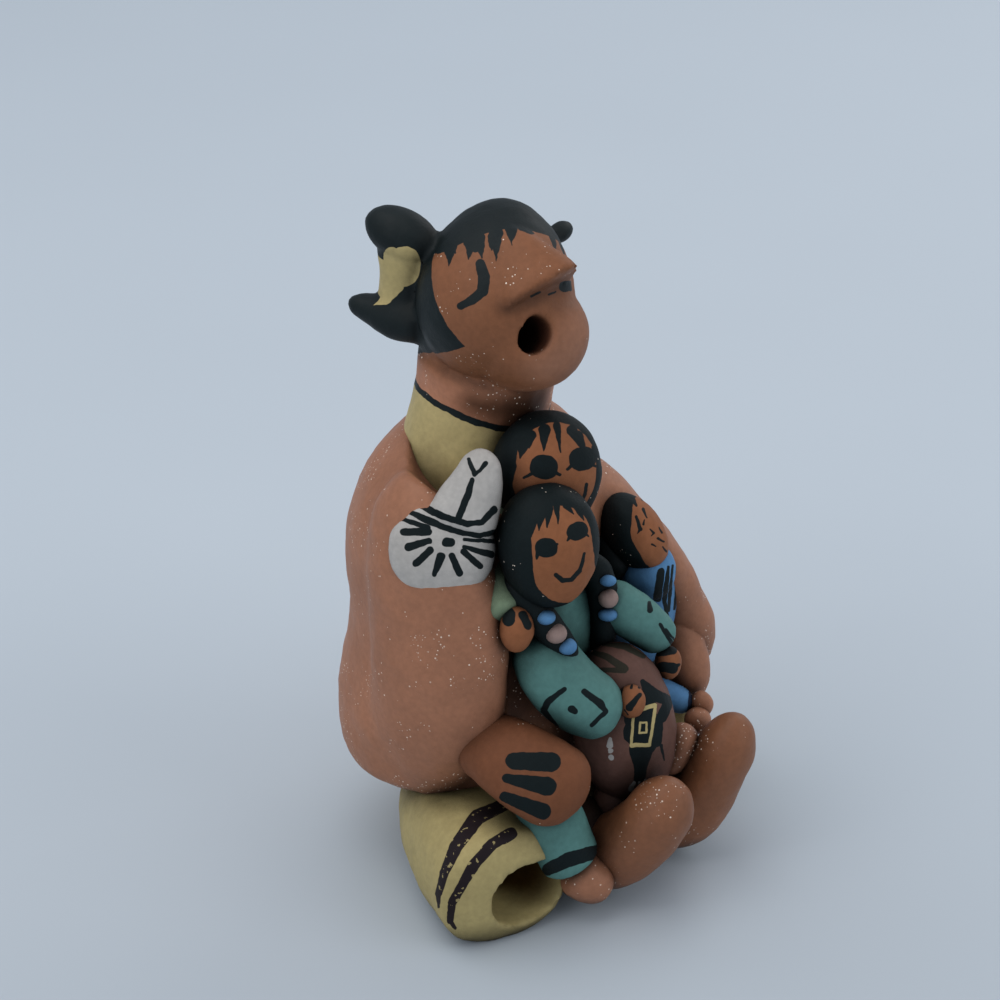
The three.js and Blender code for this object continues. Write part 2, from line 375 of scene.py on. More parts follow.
# %% Balls
def ball(center, radii, front=FORWARD, up=(0, 0, 1), taper=0.0, detail=24):
    start_fresh()
    bpy.ops.mesh.primitive_uv_sphere_add(segments=detail, ring_count=detail // 2, radius=1)
    piece = bpy.context.object
    bpy.ops.object.mode_set(mode="EDIT")
    mesh = bmesh.from_edit_mesh(piece.data)
    for corner in mesh.verts:
        corner.co.xy *= 1 - taper * corner.co.z
    sized = Matrix.Diagonal(Vector(radii) * UNIT).to_4x4()
    turned = Matrix.Translation(at(center)) @ facing(front, up).to_4x4() @ sized
    bmesh.ops.transform(mesh, matrix=turned, verts=mesh.verts)
    bpy.ops.mesh.select_all(action="SELECT")
    bpy.ops.mesh.normals_make_consistent(inside=False)
    bpy.ops.object.mode_set(mode="OBJECT")
    return piece


print("balls face", FORWARD, "unless they are turned")

# %% [markdown]
# Lumps are pressed together with a union, then worked over: a fine even skin replaces the joint,
# smoothing rounds the crease as a wet thumb would, and a slow uneven swell with small thumb dents
# on it keeps the surface from looking machined. Each lump is worked over by itself, with a skin
# as fine as its own details need.

# %% Pressing together
SWELL_ACROSS = 0.011
DENT_ACROSS = 0.0038
DENT_DEPTH = 0.16


def combine(body, other, how="UNION"):
    finish_with(body, "BOOLEAN", operation=how, object=other, solver="MANIFOLD", material_mode="TRANSFER")
    bpy.data.objects.remove(other)


def press(pieces):
    body = pieces[0]
    for other in pieces[1:]:
        combine(body, other)
    return body


def clouds(name, across, depth):
    made = bpy.data.textures.new(name, "CLOUDS")
    made.noise_scale = across
    made.noise_depth = depth
    return made


hand_swell = clouds("hand_swell", SWELL_ACROSS, 2)
thumb_dents = clouds("thumb_dents", DENT_ACROSS, 1)


def work_over(piece, skin, rounds, swell):
    finish_with(piece, "REMESH", mode="VOXEL", voxel_size=skin * MM)
    finish_with(piece, "SMOOTH", factor=0.5, iterations=rounds)
    for texture, height in ((hand_swell, swell), (thumb_dents, DENT_DEPTH)):
        finish_with(piece, "DISPLACE", texture=texture, texture_coords="LOCAL",
                    strength=height * 2 * MM, mid_level=0.5)


print("swells", SWELL_ACROSS / MM, "mm and dents", DENT_ACROSS / MM, "mm across")

# %% [markdown]
# The singer's head leans back and to one side, mouth open. The skull and jaw are two balls, the
# nose is a broad wedge pinched from the forehead, and the hair is tied behind in an hourglass
# knot: a round top, a narrow waist and a pointed tail. The neck runs straight into the shirt, so
# all of it is worked over as one lump; the mouth is bored with a stick before the last smoothing,
# which leaves its rim soft.

# %% Head, neck and shirt
HEAD_FRONT = (-0.294, -0.815, 0.499)
HEAD_UP = (0.578, 0.262, 0.773)
HEAD_CENTER = Vector((0, 0, 109.3))
NOSE_OUT = (-0.454, 0.901, 0.085)
MOUTH_BORE = 2.7
MOUTH_WIDER = (1, 1, 0.85)
MOUTH_TALLER = (1.3, 1.28, 1)
MOUTH_DEPTH = 13


def head_way(side, front, up):
    return facing(HEAD_FRONT, HEAD_UP) @ Vector((side, front, up))


def on_head(side, front, up):
    return HEAD_CENTER + head_way(side, front, up)


head_forms = {
    "skull": ball(on_head(-0.8, 0, 0.2), (13.2, 14.4, 15.8), HEAD_FRONT, HEAD_UP, taper=0.15, detail=40),
    "jaw": ball(on_head(3.8, 3.8, -7.6), (10.8, 10.8, 9.9), HEAD_FRONT, HEAD_UP, detail=32),
    "nose": roll([on_head(-6.8, 7.6, 8), on_head(-3.3, 10.3, 2.4), on_head(0.3, 12.9, -2.9)], (3.6, 6, 8),
                 (3, 4.8, 6), out=head_way(*NOSE_OUT), caps=(0.3, 0.02), square=0.75, around=20),
    "neck": roll([(0.6, 6.5, 74), (0.9, 4, 88), (0.8, 2.3, 100)], (12.5, 12.3, 13), (12, 12.1, 12.8),
                 out=FORWARD, around=24),
    "knot_top": ball((-5, 16.8, 117.9), (4.8, 7, 4.2), (-0.1, 0.92, 0.28)),
    "nape": ball((0.4, 4.2, 101.5), (11.5, 11.9, 8.5), detail=32),
    "knot_waist": roll([(-4, 16.5, 118), (-4, 16.5, 109), (-4, 17, 100)], (4.6, 4.4, 5.5), (6, 5, 6),
                       out=(0, 1, 0)),
    "knot_tail": roll([(-5, 11, 102.8), (-6, 18, 102.4), (-7, 27, 103.2)], (5, 4.8, 2), (4.6, 4, 1.6),
                      caps=(0.1, 0.14)),
    "small_knob": ball((13.7, -3.7, 115.8), (3.4, 2, 1.8)),
    "shirt": roll([(0, 5, 60), (0, 5, 78), (0, 4.5, 95)], (20, 15.4, 10.6), (15, 13, 10.2), out=FORWARD,
                  around=24, caps=(0.2, 0.1)),
}
head = press(list(head_forms.values()))
bore = roll([on_head(-0.4, 20, -10.8), on_head(-0.2, 15, -10), on_head(0.4, 15 - MOUTH_DEPTH, -8.6)],
            [MOUTH_BORE * share for share in MOUTH_WIDER], [MOUTH_BORE * share for share in MOUTH_TALLER],
            out=HEAD_UP, caps=(0.08, 0.25), around=20)
combine(head, bore, "DIFFERENCE")
head.name = "head"
work_over(head, skin=0.65, rounds=2, swell=0.25)
print("head", len(head.data.polygons), "faces")

# %% [markdown]
# The blanket is one big bell round the back with a full flap over each arm. Its lower edge hangs
# free over the trousers and the hand, so the bell is rounded under rather than cut. It is smoothed
# more than the rest, because thick cloth laid on in clay has no sharp creases.

# %% Blanket
blanket_forms = {
    "bell": roll([(0, 5, 14), (0, 5, 31), (0, 5, 49), (0, 5, 66), (0, 5, 87)],
                 (28, 30.5, 27.5, 28, 18), (22, 23.6, 20.8, 21.4, 13.5),
                 out=FORWARD, caps=(0.12, 0.14), around=32, middle_count=10),
    "near_flap": roll([(-18, 2, 84), (-23, 0, 68), (-25, -3, 50), (-25, -1, 20)], (9, 11.5, 13, 11),
                      (8, 8.5, 8, 7), out=(-1, -0.2, 0), around=20, middle_count=8),
    "far_flap": roll([(14, -5.1, 71), (21, -8.1, 58.3), (26, -12.4, 47.4), (30, -17.5, 37),
                      (34, -24.2, 23.5)], (10, 13, 14, 11.5, 7.5), (7, 7, 7, 6, 5),
                     out=(1, -0.4, 0), around=20, middle_count=8),
}
blanket = press(list(blanket_forms.values()))
neck_opening = ball((-6.5, -4.2, 89), (20, 17.5, 16.5), detail=32)
combine(blanket, neck_opening, "DIFFERENCE")
blanket.name = "blanket"
work_over(blanket, skin=1.05, rounds=8, swell=0.5)
print("blanket", len(blanket.data.polygons), "faces")

# %% [markdown]
# The wide trouser legs are thick slabs rolled round and left open at the front. One leg is
# modelled, hollowed to an even wall and softened, and the other is its mirrored copy, with the
# skin turned the right way out again.

# %% Trousers
CUFF_HALF_WIDTH = 12.8
CUFF_HALF_HEIGHT = 11.6
CUFF_WALL = 4.9
HOLLOW_DEPTH = 22
HOLLOW_MOUTH = (-30.4, -27, 9.4)
HOLLOW_WAY = (0.3, 0.94)
HOLLOW_NARROWS = 0.8
MIRRORED = Matrix.Diagonal((-1, 1, 1, 1))

near_cuff = roll([(-12, 5, 9), (-17, 0, 10), (-25, -10.5, 11), (-33.6, -24, 11)],
                 (8, 10, 12, CUFF_HALF_WIDTH), (8.5, 10.5, 12, CUFF_HALF_HEIGHT),
                 caps=(0.2, 0.08), around=20, square=0.8)
hollow_wide = CUFF_HALF_WIDTH - CUFF_WALL
hollow_deep = CUFF_HALF_HEIGHT - CUFF_WALL
hollow_end = (HOLLOW_MOUTH[0] + HOLLOW_WAY[0] * HOLLOW_DEPTH,
              HOLLOW_MOUTH[1] + HOLLOW_WAY[1] * HOLLOW_DEPTH, 10.2)
hollow = roll([(-32.4, -33, 9), HOLLOW_MOUTH, hollow_end],
              (hollow_wide, hollow_wide, hollow_wide * HOLLOW_NARROWS),
              (hollow_deep, hollow_deep, hollow_deep * HOLLOW_NARROWS),
              caps=(0.06, 0.25), around=20, square=0.9)
combine(near_cuff, hollow, "DIFFERENCE")
near_cuff.name = "near_cuff"
work_over(near_cuff, skin=0.8, rounds=2, swell=0.3)
take_up(near_cuff)
bpy.ops.object.duplicate()
far_cuff = bpy.context.object
far_cuff.name = "far_cuff"
bpy.ops.object.mode_set(mode="EDIT")
bpy.ops.mesh.select_all(action="SELECT")
mesh = bmesh.from_edit_mesh(far_cuff.data)
bmesh.ops.transform(mesh, matrix=MIRRORED, verts=mesh.verts)
bpy.ops.mesh.normals_make_consistent(inside=False)
bpy.ops.object.mode_set(mode="OBJECT")
print("one trouser leg", len(near_cuff.data.polygons), "faces")

# %% [markdown]
# The seat is hidden under the blanket and the children. It is a plain block with two stubs that
# carry the trouser legs and the feet, so nothing hangs in the air.

# %% Seat
seat_forms = {
    "hips": roll([(0, 13, 12), (0, 1, 12), (0, -12, 12)], (14, 18, 16), (13, 13, 12), square=0.8, around=20),
    "near_thigh": roll([(-13, -4, 14), (-12, -16, 13), (-11, -30, 10)], (7, 7, 7), (8, 8, 7)),
    "far_thigh": roll([(9, -4, 14), (9, -16, 13), (9, -32, 10)], (7, 7, 7), (8, 8, 7)),
}
seat = press(list(seat_forms.values()))
seat.name = "seat"
work_over(seat, skin=1.05, rounds=2, swell=0.3)
print("seat", len(seat.data.polygons), "faces")

# %% [markdown]
# Hands and feet are finger-thick rolls without fingers or toes, like mittens. The fingers of the
# near hand are only painted on.

# %% Hands and feet
limbs = {
    "near_hand": roll([(-22.7, -7, 33), (-25.7, -16, 34), (-25.7, -24, 32), (-23.7, -32, 27.5)],
                      (5.5, 7, 8, 7.4), (4.5, 5, 5, 4.5), out=(-0.7, -0.2, 0.6), around=20),
    "far_hand": roll([(26, -15, 44), (27, -21.6, 36.5), (26, -24.8, 29.6), (24.6, -27.4, 21.4)],
                     (3.6, 4, 4.2, 4), (3.6, 4, 4.2, 4), out=(0.7, -0.6, 0.2)),
    "near_foot": roll([(-12, -21, 8.4), (-11, -30, 9.2), (-10.2, -37.6, 17), (-9.2, -42.8, 27.6)],
                      (6.5, 6.8, 6.6, 5.6), (7.4, 7.4, 6.6, 5.6), out=(0, -0.7, -0.7), around=20),
    "far_foot": roll([(7, -26, 8), (8, -34, 8), (9.5, -39.5, 17), (11.5, -44, 31)],
                     (6.5, 6.5, 6.2, 5.6), (7, 7, 6, 5.6), out=(0, -0.8, -0.5), around=20),
}
for name, piece in limbs.items():
    piece.name = name
    work_over(piece, skin=0.78, rounds=2, swell=0.3)
print("hands and feet", sum(len(piece.data.polygons) for piece in limbs.values()), "faces")

# %% [markdown]
# The white gourd is a flattened ball with a neck drawn up from it, pressed on the near shoulder.
# A second, smaller ball fills the corner where the neck leaves the bowl.

# %% Gourd
GOURD_FRONT = (-0.8, -0.5, 0.3)

gourd_forms = {
    "bowl": ball((-25.6, -4.3, 71.6), (9.4, 4.4, 8.9), GOURD_FRONT, detail=32),
    "corner": ball((-24.9, -1.6, 75.6), (5.6, 4.2, 5), GOURD_FRONT),
    "neck": roll([(-24.8, -6.5, 75), (-20.6, -7.9, 82.6), (-17.4, -7.7, 88.6)], (6.8, 4.9, 3), (4, 3.4, 2.6),
                 out=GOURD_FRONT),
}
gourd = press(list(gourd_forms.values()))
gourd.name = "gourd"
work_over(gourd, skin=0.55, rounds=3, swell=0.3)
print("gourd", len(gourd.data.polygons), "faces")

# %% [markdown]
# The three children are balls and small rolls, lettered from the top one down. Heads, sleeves,
# hands and braids stay separate lumps until the last union, because each is a different colour and
# the paint runs up to the creases between them. The sleeves are turned towards the camera, because
# only that side of them is known.

# %% First and second child
TO_VIEWER = (-0.73, -0.46, 0.5)
AHEAD = (-0.4, -0.85, 0.2)

child_parts = {
    "a_head": ball((-5.2, -12.8, 79.9), (10, 8, 10.8), (-0.5, -0.8, 0.25), detail=36),
    "a_body": ball((-8, -8, 62), (11, 9, 14)),
    "a_arm": roll([(-12, -8, 66), (-20, -12.5, 61.5), (-22, -15.5, 59.5)], (4, 4, 3.5), (4, 4, 3.5),
                  out=TO_VIEWER),
    "a_hand": ball((-22.4, -17.4, 58), (3, 2.6, 4.2), (-0.8, -0.5, 0.2)),
    "b_head": ball((-14.2, -18.7, 71.2), (9.1, 8, 11.2), (-0.55, -0.8, 0.2), taper=-0.06, detail=36),
    "b_body": ball((-4, -12, 48.5), (12, 9, 14)),
    "b_near_arm": roll([(-14, -16, 54), (-15.5, -20, 47.5), (-13, -25, 41), (-8, -30, 37.6)],
                       (5, 6.4, 6.4, 5.6), (5, 6.2, 6.2, 5.4), out=TO_VIEWER, around=20),
    "b_near_hand": ball((-7.2, -31.8, 39.9), (2.8, 2.2, 3.2), AHEAD),
    "b_far_arm": roll([(-0.2, -20.6, 56), (3.1, -24.7, 50.8), (6.3, -28.2, 46.4), (7.4, -30.6, 43)],
                      (4, 4.6, 4.2, 3.4), (4, 4.4, 4, 3.4), out=TO_VIEWER),
    "b_far_hand": ball((6.4, -31.6, 40.7), (2.6, 2.4, 3.4), AHEAD),
    "b_leg": roll([(-19, -18, 26), (-22.5, -24, 23), (-21, -27.5, 13.5), (-20.5, -28.2, 11.5)],
                  (5.4, 6, 5.8, 5.6), (5, 5.4, 5, 5), out=(-0.5, -0.8, 0.3)),
    "b_near_foot": roll([(-20.6, -26.3, 11), (-18, -29.8, 7.8), (-14.6, -32.2, 6.2)], (4.8, 5.4, 4.2),
                        (4.4, 4.8, 4), caps=(0.3, 0.3)),
    "b_far_foot": roll([(5.4, -32.4, 18), (6.6, -34.2, 22.8), (8, -34.7, 27.8)], (2.5, 3, 3.5),
                       (2.5, 3, 3.5), caps=(0.2, 0.3)),
}
print("lumps of two children", len(child_parts))

# %% [markdown]
# The third child is mostly hidden behind the second one's arm: a face, a lock of hair, a shoulder,
# and a leg that comes out beside the painted pot. The pot is a tall ball on a smaller one that
# rests in the lap. The two braids hang in front of the second child, as thick bars of clay.

# %% Third child, pot and braids
BRAID = 2.9
BRAID_TAPER = (1, 1, 1, 0.8)
near_braid = [BRAID * share for share in BRAID_TAPER]
far_braid = [BRAID] * 4

child_parts.update({
    "c_head": ball((15.3, -18.4, 59.5), (5.6, 7, 8.2), TO_VIEWER, (0, 0.74, 0.68), detail=32),
    "c_lock": roll([(16, -13.6, 61.6), (12.7, -15, 58.4), (11.4, -17.2, 55), (10.9, -19.2, 52.4)],
                   (2.4, 3, 3, 2.2), (2.4, 3, 3, 2.2), out=TO_VIEWER),
    "c_body": ball((18.2, -18, 43), (7.5, 7.5, 14)),
    "c_shoulder": ball((15.6, -21.8, 52.2), (5.2, 5.4, 5.6), TO_VIEWER),
    "c_leg": roll([(14, -12, 32), (17.3, -22.2, 26.6), (20.3, -29.8, 23.1)], (3, 2.8, 2.6), (3, 2.8, 2.6)),
    "c_foot": ball((20.9, -31, 23.8), (2, 2.4, 2.6)),
    "c_near_foot": ball((18.2, -31.8, 21.9), (2.7, 2.6, 2.6)),
    "pot_base": ball((-3.6, -27.8, 15.4), (6.4, 4.6, 6.4)),
    "pot": ball((-2.1, -27.5, 30.8), (9.7, 8.4, 16.7), (-0.4, -0.9, 0.12), (-0.2, -0.14, 1), detail=36),
    "near_braid": roll([(-18.5, -13.5, 67), (-18.3, -17.5, 61), (-16, -21, 55), (-13.6, -24, 48.5)],
                       near_braid, near_braid, out=TO_VIEWER),
    "far_braid": roll([(-2.2, -19.6, 64), (-0.4, -21.4, 57), (-0.4, -21.9, 50), (-0.4, -20.9, 43)],
                      far_braid, far_braid, out=TO_VIEWER),
})
for name, piece in child_parts.items():
    piece.name = name
    work_over(piece, skin=0.65, rounds=2, swell=0.25)
print("children and pot", sum(len(piece.data.polygons) for piece in child_parts.values()), "faces")

# %% [markdown]
# Three little beads of clay are pressed on each braid, two blue ones with a pink one between.
# They are too small for the skin that the larger lumps get, so they are only flattened a little
# before they are pressed on.

# %% Beads
bead_places = {
    "bead_1": ((-18.6, -20.9, 59.7), (1.75, 1.6, 1.35)),
    "bead_2": ((-17.6, -22.4, 56.4), (1.95, 1.8, 1.8)),
    "bead_3": ((-16.2, -23.9, 53.5), (1.7, 1.6, 1.5)),
    "bead_4": ((-2.1, -23.7, 59.6), (1.5, 1.4, 1.05)),
    "bead_5": ((-2.2, -23.9, 56.1), (1.8, 1.7, 1.75)),
    "bead_6": ((-2.3, -23.9, 52.8), (1.75, 1.6, 1.25)),
}
beads = {}
for name, (place, radii) in bead_places.items():
    beads[name] = ball(place, radii, TO_VIEWER)
    beads[name].name = name
print("beads", len(beads), "of", len(beads["bead_1"].data.polygons), "faces")

# %% [markdown]
# All the colours are flat mineral paints brushed on dry clay. A brush stroke is the area within a
# given distance of a short line, wider at one end than the other, so a small group of nodes can
# measure that distance exactly, and a mark stays sharp however closely it is looked at.

# %% Brush stroke
def stroke_group():
    group = bpy.data.node_groups.new("brush_stroke", "ShaderNodeTree")
    for name in ("Place", "Start", "End"):
        group.interface.new_socket(name, in_out="INPUT", socket_type="NodeSocketVector")
    for name in ("Start Radius", "End Radius"):
        group.interface.new_socket(name, in_out="INPUT", socket_type="NodeSocketFloat")
    group.interface.new_socket("Distance", in_out="OUTPUT", socket_type="NodeSocketFloat")
    given = group.nodes.new("NodeGroupInput").outputs
    run = vector(group, "SUBTRACT", given["End"], given["Start"])
    reach = vector(group, "SUBTRACT", given["Place"], given["Start"])
    share = number(group, "DIVIDE", vector(group, "DOT_PRODUCT", reach, run),
                   vector(group, "DOT_PRODUCT", run, run), clamp=True)
    away = vector(group, "DISTANCE", reach, scaled(group, run, share))
    grow = number(group, "SUBTRACT", given["End Radius"], given["Start Radius"])
    radius = number(group, "MULTIPLY_ADD", share, grow, given["Start Radius"])
    result = group.nodes.new("NodeGroupOutput")
    group.links.new(number(group, "SUBTRACT", away, radius), result.inputs[0])
    return group


STROKE = stroke_group()


def stroke(tree, place, start, start_radius, end, end_radius):
    made = tree.nodes.new("ShaderNodeGroup")
    made.node_tree = STROKE
    given = {"Place": place, "Start": start, "End": end}
    given.update({"Start Radius": start_radius, "End Radius": end_radius})
    for name, value in given.items():
        feed(tree, made.inputs[name], value)
    return made.outputs[0]


print("a brush stroke takes", len(STROKE.nodes), "nodes")

# %% [markdown]
# A mark is a row of strokes that touch, and the smaller of their distances joins them. A little
# softness makes its edge, and the paint is laid over what is there already by mixing two colours.
# Blender's Mix node keeps a socket for each kind of value, so those for colours go by number.

# %% Marks and layers
CLEAN_EDGE = 0.05
MIX_SHARE, MIX_UNDER, MIX_OVER, MIX_RESULT = 0, 6, 7, 2


def strokes(tree, flat, rows):
    nearest = None
    for x1, y1, r1, x2, y2, r2 in rows:
        made = stroke(tree, flat, (x1, y1, 0), r1, (x2, y2, 0), r2)
        nearest = made if nearest is None else number(tree, "MINIMUM", nearest, made)
    return nearest


def covered(tree, distance, soft=CLEAN_EDGE):
    return graded(tree, distance, soft, -soft, kind="SMOOTHSTEP")


def lay(tree, under, over, mask):
    made = tree.nodes.new("ShaderNodeMix")
    made.data_type = "RGBA"
    feed(tree, made.inputs[MIX_SHARE], mask)
    for index, tone in ((MIX_UNDER, under), (MIX_OVER, over)):
        feed(tree, made.inputs[index], (*tone, 1) if isinstance(tone, tuple) else tone)
    return made.outputs[MIX_RESULT]


print("an edge fades over", 2 * CLEAN_EDGE, "mm")

# %% [markdown]
# The marks of one place are laid out on a stencil: a flat sheet held in front of the clay and
# facing the painter, on which they are measured in millimetres and pressed straight back onto the
# form, as far as its reach. A slight wobble makes the edges those of a hand-held brush.

# %% Stencil
WOBBLE = 0.32
WOBBLE_SCALE = 750.0


def stencil(tree, place, centre, reach=9.0, fade=CLEAN_EDGE):
    middle = Vector(centre) * MM
    toward = (CAMERA_AT - middle).normalized()
    across = UPRIGHT.cross(toward).normalized()
    offset = vector(tree, "SUBTRACT", place, tuple(middle))
    axes = [vector(tree, "DOT_PRODUCT", offset, tuple(axis / MM))
            for axis in (across, toward.cross(across), toward)]
    flat = node(tree, "ShaderNodeCombineXYZ", X=axes[0], Y=axes[1]).outputs[0]
    shake = noise(tree, place, WOBBLE_SCALE, detail=1.0, output="Color")
    nudge = vector(tree, "MULTIPLY_ADD", shake, (WOBBLE, WOBBLE, 0), (-WOBBLE / 2, -WOBBLE / 2, 0))
    near_enough = covered(tree, number(tree, "SUBTRACT", -reach, axes[2]), soft=fade)
    return vector(tree, "ADD", flat, nudge), near_enough


print("edges wobble by up to", WOBBLE / 2, "mm")

# %% [markdown]
# The ends and radii of most strokes were read off the photo. Those stay what they are, pixels of
# the photo or of a named enlarged crop of it, and the scale at the stencil's distance turns them into
# millimetres. A crop is named with its corner in the photo and its enlargement.

# %% Marks read off the photo
WHOLE_PHOTO = ((0, 0), 1.0)
GOURD_CROP = ((330, 420), 2.4)
CHILD_CROP = ((560, 490), 3.2)
POT_CROP = ((575, 600), 6.0)
LEG_CROP = ((395, 740), 2.6)


def read_off(centre, crop, rows):
    corner, zoom = crop
    away = Vector(centre) * MM - CAMERA_AT
    pixel = -away.dot(VIEW_BACK) * VIEW_WIDTH / VIEW_DISTANCE / PHOTO_WIDTH / MM
    middle_x = (PHOTO_MIDDLE[0] - corner[0] + away.dot(VIEW_RIGHT) / MM / pixel) * zoom
    middle_y = (PHOTO_MIDDLE[1] - corner[1] - away.dot(VIEW_UP) / MM / pixel) * zoom
    laid = []
    for x1, y1, r1, x2, y2, r2 in rows:
        moved = (x1 - middle_x, middle_y - y1, r1, x2 - middle_x, middle_y - y2, r2)
        laid.append(tuple(value * pixel / zoom for value in moved))
    return laid


print("a photo pixel is", round(VIEW_WIDTH / PHOTO_WIDTH / MM, 3), "mm at the figure's middle")

# %% [markdown]
# The paints are few: black, cream, white, teal, sage, blue, a maroon for the pot, and the warm
# terracotta of the clay itself, which is redder on the face and darker where it was smoked in the
# firing. Some tones are painted light and shade: the darker clay of the near hand, the darker cream
# of the trouser legs, the near-black hollow and throat, the pale highlight on the chin, and the smoke
# tone that also stands for shade under the jaw and nose. Each is named for what it is or where it lies.

# %% Palette
TERRACOTTA = (0.365, 0.158, 0.086)
SKIN = (0.238, 0.093, 0.042)
CHIN_HIGHLIGHT_SKIN = (0.40, 0.19, 0.115)
CHILD_SKIN = (0.28, 0.105, 0.045)
SHADED_HAND_CLAY = (0.19, 0.07, 0.032)
NECK_CLAY = (0.47, 0.205, 0.115)
SHADED_INNER_CLAY = (0.055, 0.026, 0.004)
THROAT_SHADE = (0.12, 0.042, 0.022)
SMOKE_AND_SHADE = (0.06, 0.022, 0.009)
UNDER_LAP = (0.03, 0.014, 0.008)
SPARK = (0.95, 0.80, 0.66)
BLACK = (0.004, 0.009, 0.010)
DARK_STRIPE = (0.016, 0.010, 0.012)
CREAM = (0.51, 0.405, 0.18)
SHADED_CUFF_CREAM = (0.43, 0.345, 0.152)
WHITE = (0.48, 0.455, 0.425)
TEAL = (0.095, 0.22, 0.20)
SAGE = (0.20, 0.27, 0.17)
BLUE = (0.10, 0.25, 0.46)
DARK_BLUE = (0.012, 0.022, 0.05)
MAROON = (0.145, 0.072, 0.055)
OLIVE = (0.032, 0.028, 0.018)
PINK = (0.34, 0.24, 0.21)
WORN_THROUGH = tuple(part * 0.8 for part in TERRACOTTA)
print("terracotta is", round(TERRACOTTA[0] / TERRACOTTA[2], 1), "times as red as blue")

# %% [markdown]
# Every paint shares the same dry ground: colour that varies a little in broad patches and in fine
# grain, and small worn spots where the clay shows through. The clay has mica in it, which glitters
# in scattered specks wherever it is bare, more of them in some patches than in others.

# %% Grain and specks
BROAD_GRAIN = {"scale": 85.0, "low": 0.90, "high": 1.10, "detail": 3.0}
FINE_GRAIN = {"scale": 900.0, "low": 0.93, "high": 1.07, "detail": 2.0}
GRAIN_SPREAD = (0.3, 0.7)
WEAR_SCALE = 420.0
WEAR_SIZE = 0.13
MICA_SCALE = 1500.0
MICA_SIZE = 0.17
MICA_PATCH_SCALE = 120.0
MICA_PATCH_SPREAD = (0.52, 0.66)
MICA_SCARCE = 0.08
MICA_DENSE = 6
SPECK_DIMMEST = 0.35


def grainy(tree, place, tone, scale, low, high, detail):
    grain = noise(tree, place, scale, detail)
    return scaled(tree, tone, graded(tree, grain, *GRAIN_SPREAD, low, high))


def specks(tree, place, scale, size, share):
    cells = node(tree, "ShaderNodeTexVoronoi", Vector=place, Scale=scale)
    split = node(tree, "ShaderNodeSeparateColor", Color=cells.outputs["Color"])
    reach = number(tree, "MULTIPLY_ADD", split.outputs["Green"], size, size / 2)
    near = number(tree, "LESS_THAN", cells.outputs["Distance"], reach)
    chosen = number(tree, "LESS_THAN", split.outputs["Red"], share)
    lit = number(tree, "MULTIPLY_ADD", split.outputs["Blue"], 1 - SPECK_DIMMEST, SPECK_DIMMEST)
    return number(tree, "MULTIPLY", number(tree, "MULTIPLY", near, chosen), lit)


def mica(tree, place, share):
    spread = noise(tree, place, MICA_PATCH_SCALE, detail=3.0)
    patchy = graded(tree, spread, *MICA_PATCH_SPREAD, share * MICA_SCARCE, share * MICA_DENSE)
    return specks(tree, place, MICA_SCALE, MICA_SIZE, patchy)


print("mica specks are up to", round(1.5 * MICA_SIZE / MICA_SCALE / MM, 2), "mm in radius")

# %% [markdown]
# The finish is put together in layers: the paint, its grain, the wear, a painted shade that darkens
# the creases, and the mica. Drag marks of a wet thumb and a little grit make the relief that catches
# the light. The build function that each lump passes in says where its paint lies and which clay
# is left bare for the mica to show.

# %% Painted clay
CREASE_REACH = 0.007
CREASE_DEPTH = 1.35
CREASE_SAMPLES = 4
SPARK_GLOSS = -0.3
DRAG_SCALE = 260.0
DRAG_TWIST = 0.6
GRIT_SCALE = 1700.0
GRIT_SHARE = 0.35
RELIEF_STRENGTH = 0.35
RELIEF_HEIGHT = 0.00035

finishes = {}


def relief(tree, place):
    drag = noise(tree, place, DRAG_SCALE, detail=4.0, Distortion=DRAG_TWIST)
    height = number(tree, "MULTIPLY_ADD", noise(tree, place, GRIT_SCALE), GRIT_SHARE, drag)
    return node(tree, "ShaderNodeBump", Height=height, Strength=RELIEF_STRENGTH, Distance=RELIEF_HEIGHT)


def finish_paint(name, build, glitter, wear, rough=0.62, gloss=0.15):
    material = bpy.data.materials.new(name)
    material.use_nodes = True
    tree = material.node_tree
    shader = tree.nodes["Principled BSDF"]
    place = node(tree, "ShaderNodeTexCoord").outputs["Object"]
    colour, bare = build(tree, place)
    for grain in (BROAD_GRAIN, FINE_GRAIN):
        colour = grainy(tree, place, colour, **grain)
    colour = lay(tree, colour, WORN_THROUGH, specks(tree, place, WEAR_SCALE, WEAR_SIZE, wear))
    # Painted shade: the colour is darkened where creases and hollows close in.
    crease = node(tree, "ShaderNodeAmbientOcclusion", {"samples": CREASE_SAMPLES}, Distance=CREASE_REACH)
    crease_shade = number(tree, "POWER", crease.outputs["AO"], CREASE_DEPTH, clamp=True)
    colour = vector(tree, "MULTIPLY", colour, crease_shade)
    shader.inputs["Roughness"].default_value = rough
    if glitter:
        spark = number(tree, "MULTIPLY", mica(tree, place, glitter), bare)
        colour = lay(tree, colour, SPARK, spark)
        tree.links.new(number(tree, "MULTIPLY_ADD", spark, SPARK_GLOSS, rough), shader.inputs["Roughness"])
    tree.links.new(colour, shader.inputs["Base Color"])
    shader.inputs["Specular IOR Level"].default_value = gloss
    tree.links.new(relief(tree, place).outputs["Normal"], shader.inputs["Normal"])
    finishes[name] = material


print("relief is up to", round(RELIEF_HEIGHT * RELIEF_STRENGTH / MM, 2), "mm")

# %% [markdown]
# Most lumps have one ground colour with marks of one or two other colours on it, so one helper
# paints them all from lists. Wherever a mark lies, the clay counts as covered.

# %% Painted lumps
def painted(name, ground, layers=(), reach=9.0, **finish):
    def build(tree, place):
        colour, bare = ground, 1.0
        for tone, centre, rows in layers:
            flat, near_enough = stencil(tree, place, centre, reach=reach)
            mask = number(tree, "MULTIPLY", covered(tree, strokes(tree, flat, rows)), near_enough)
            colour = lay(tree, colour, tone, mask)
            bare = number(tree, "MINIMUM", bare, number(tree, "SUBTRACT", 1.0, mask))
        return colour, bare
    finish_paint(name, build, **finish)


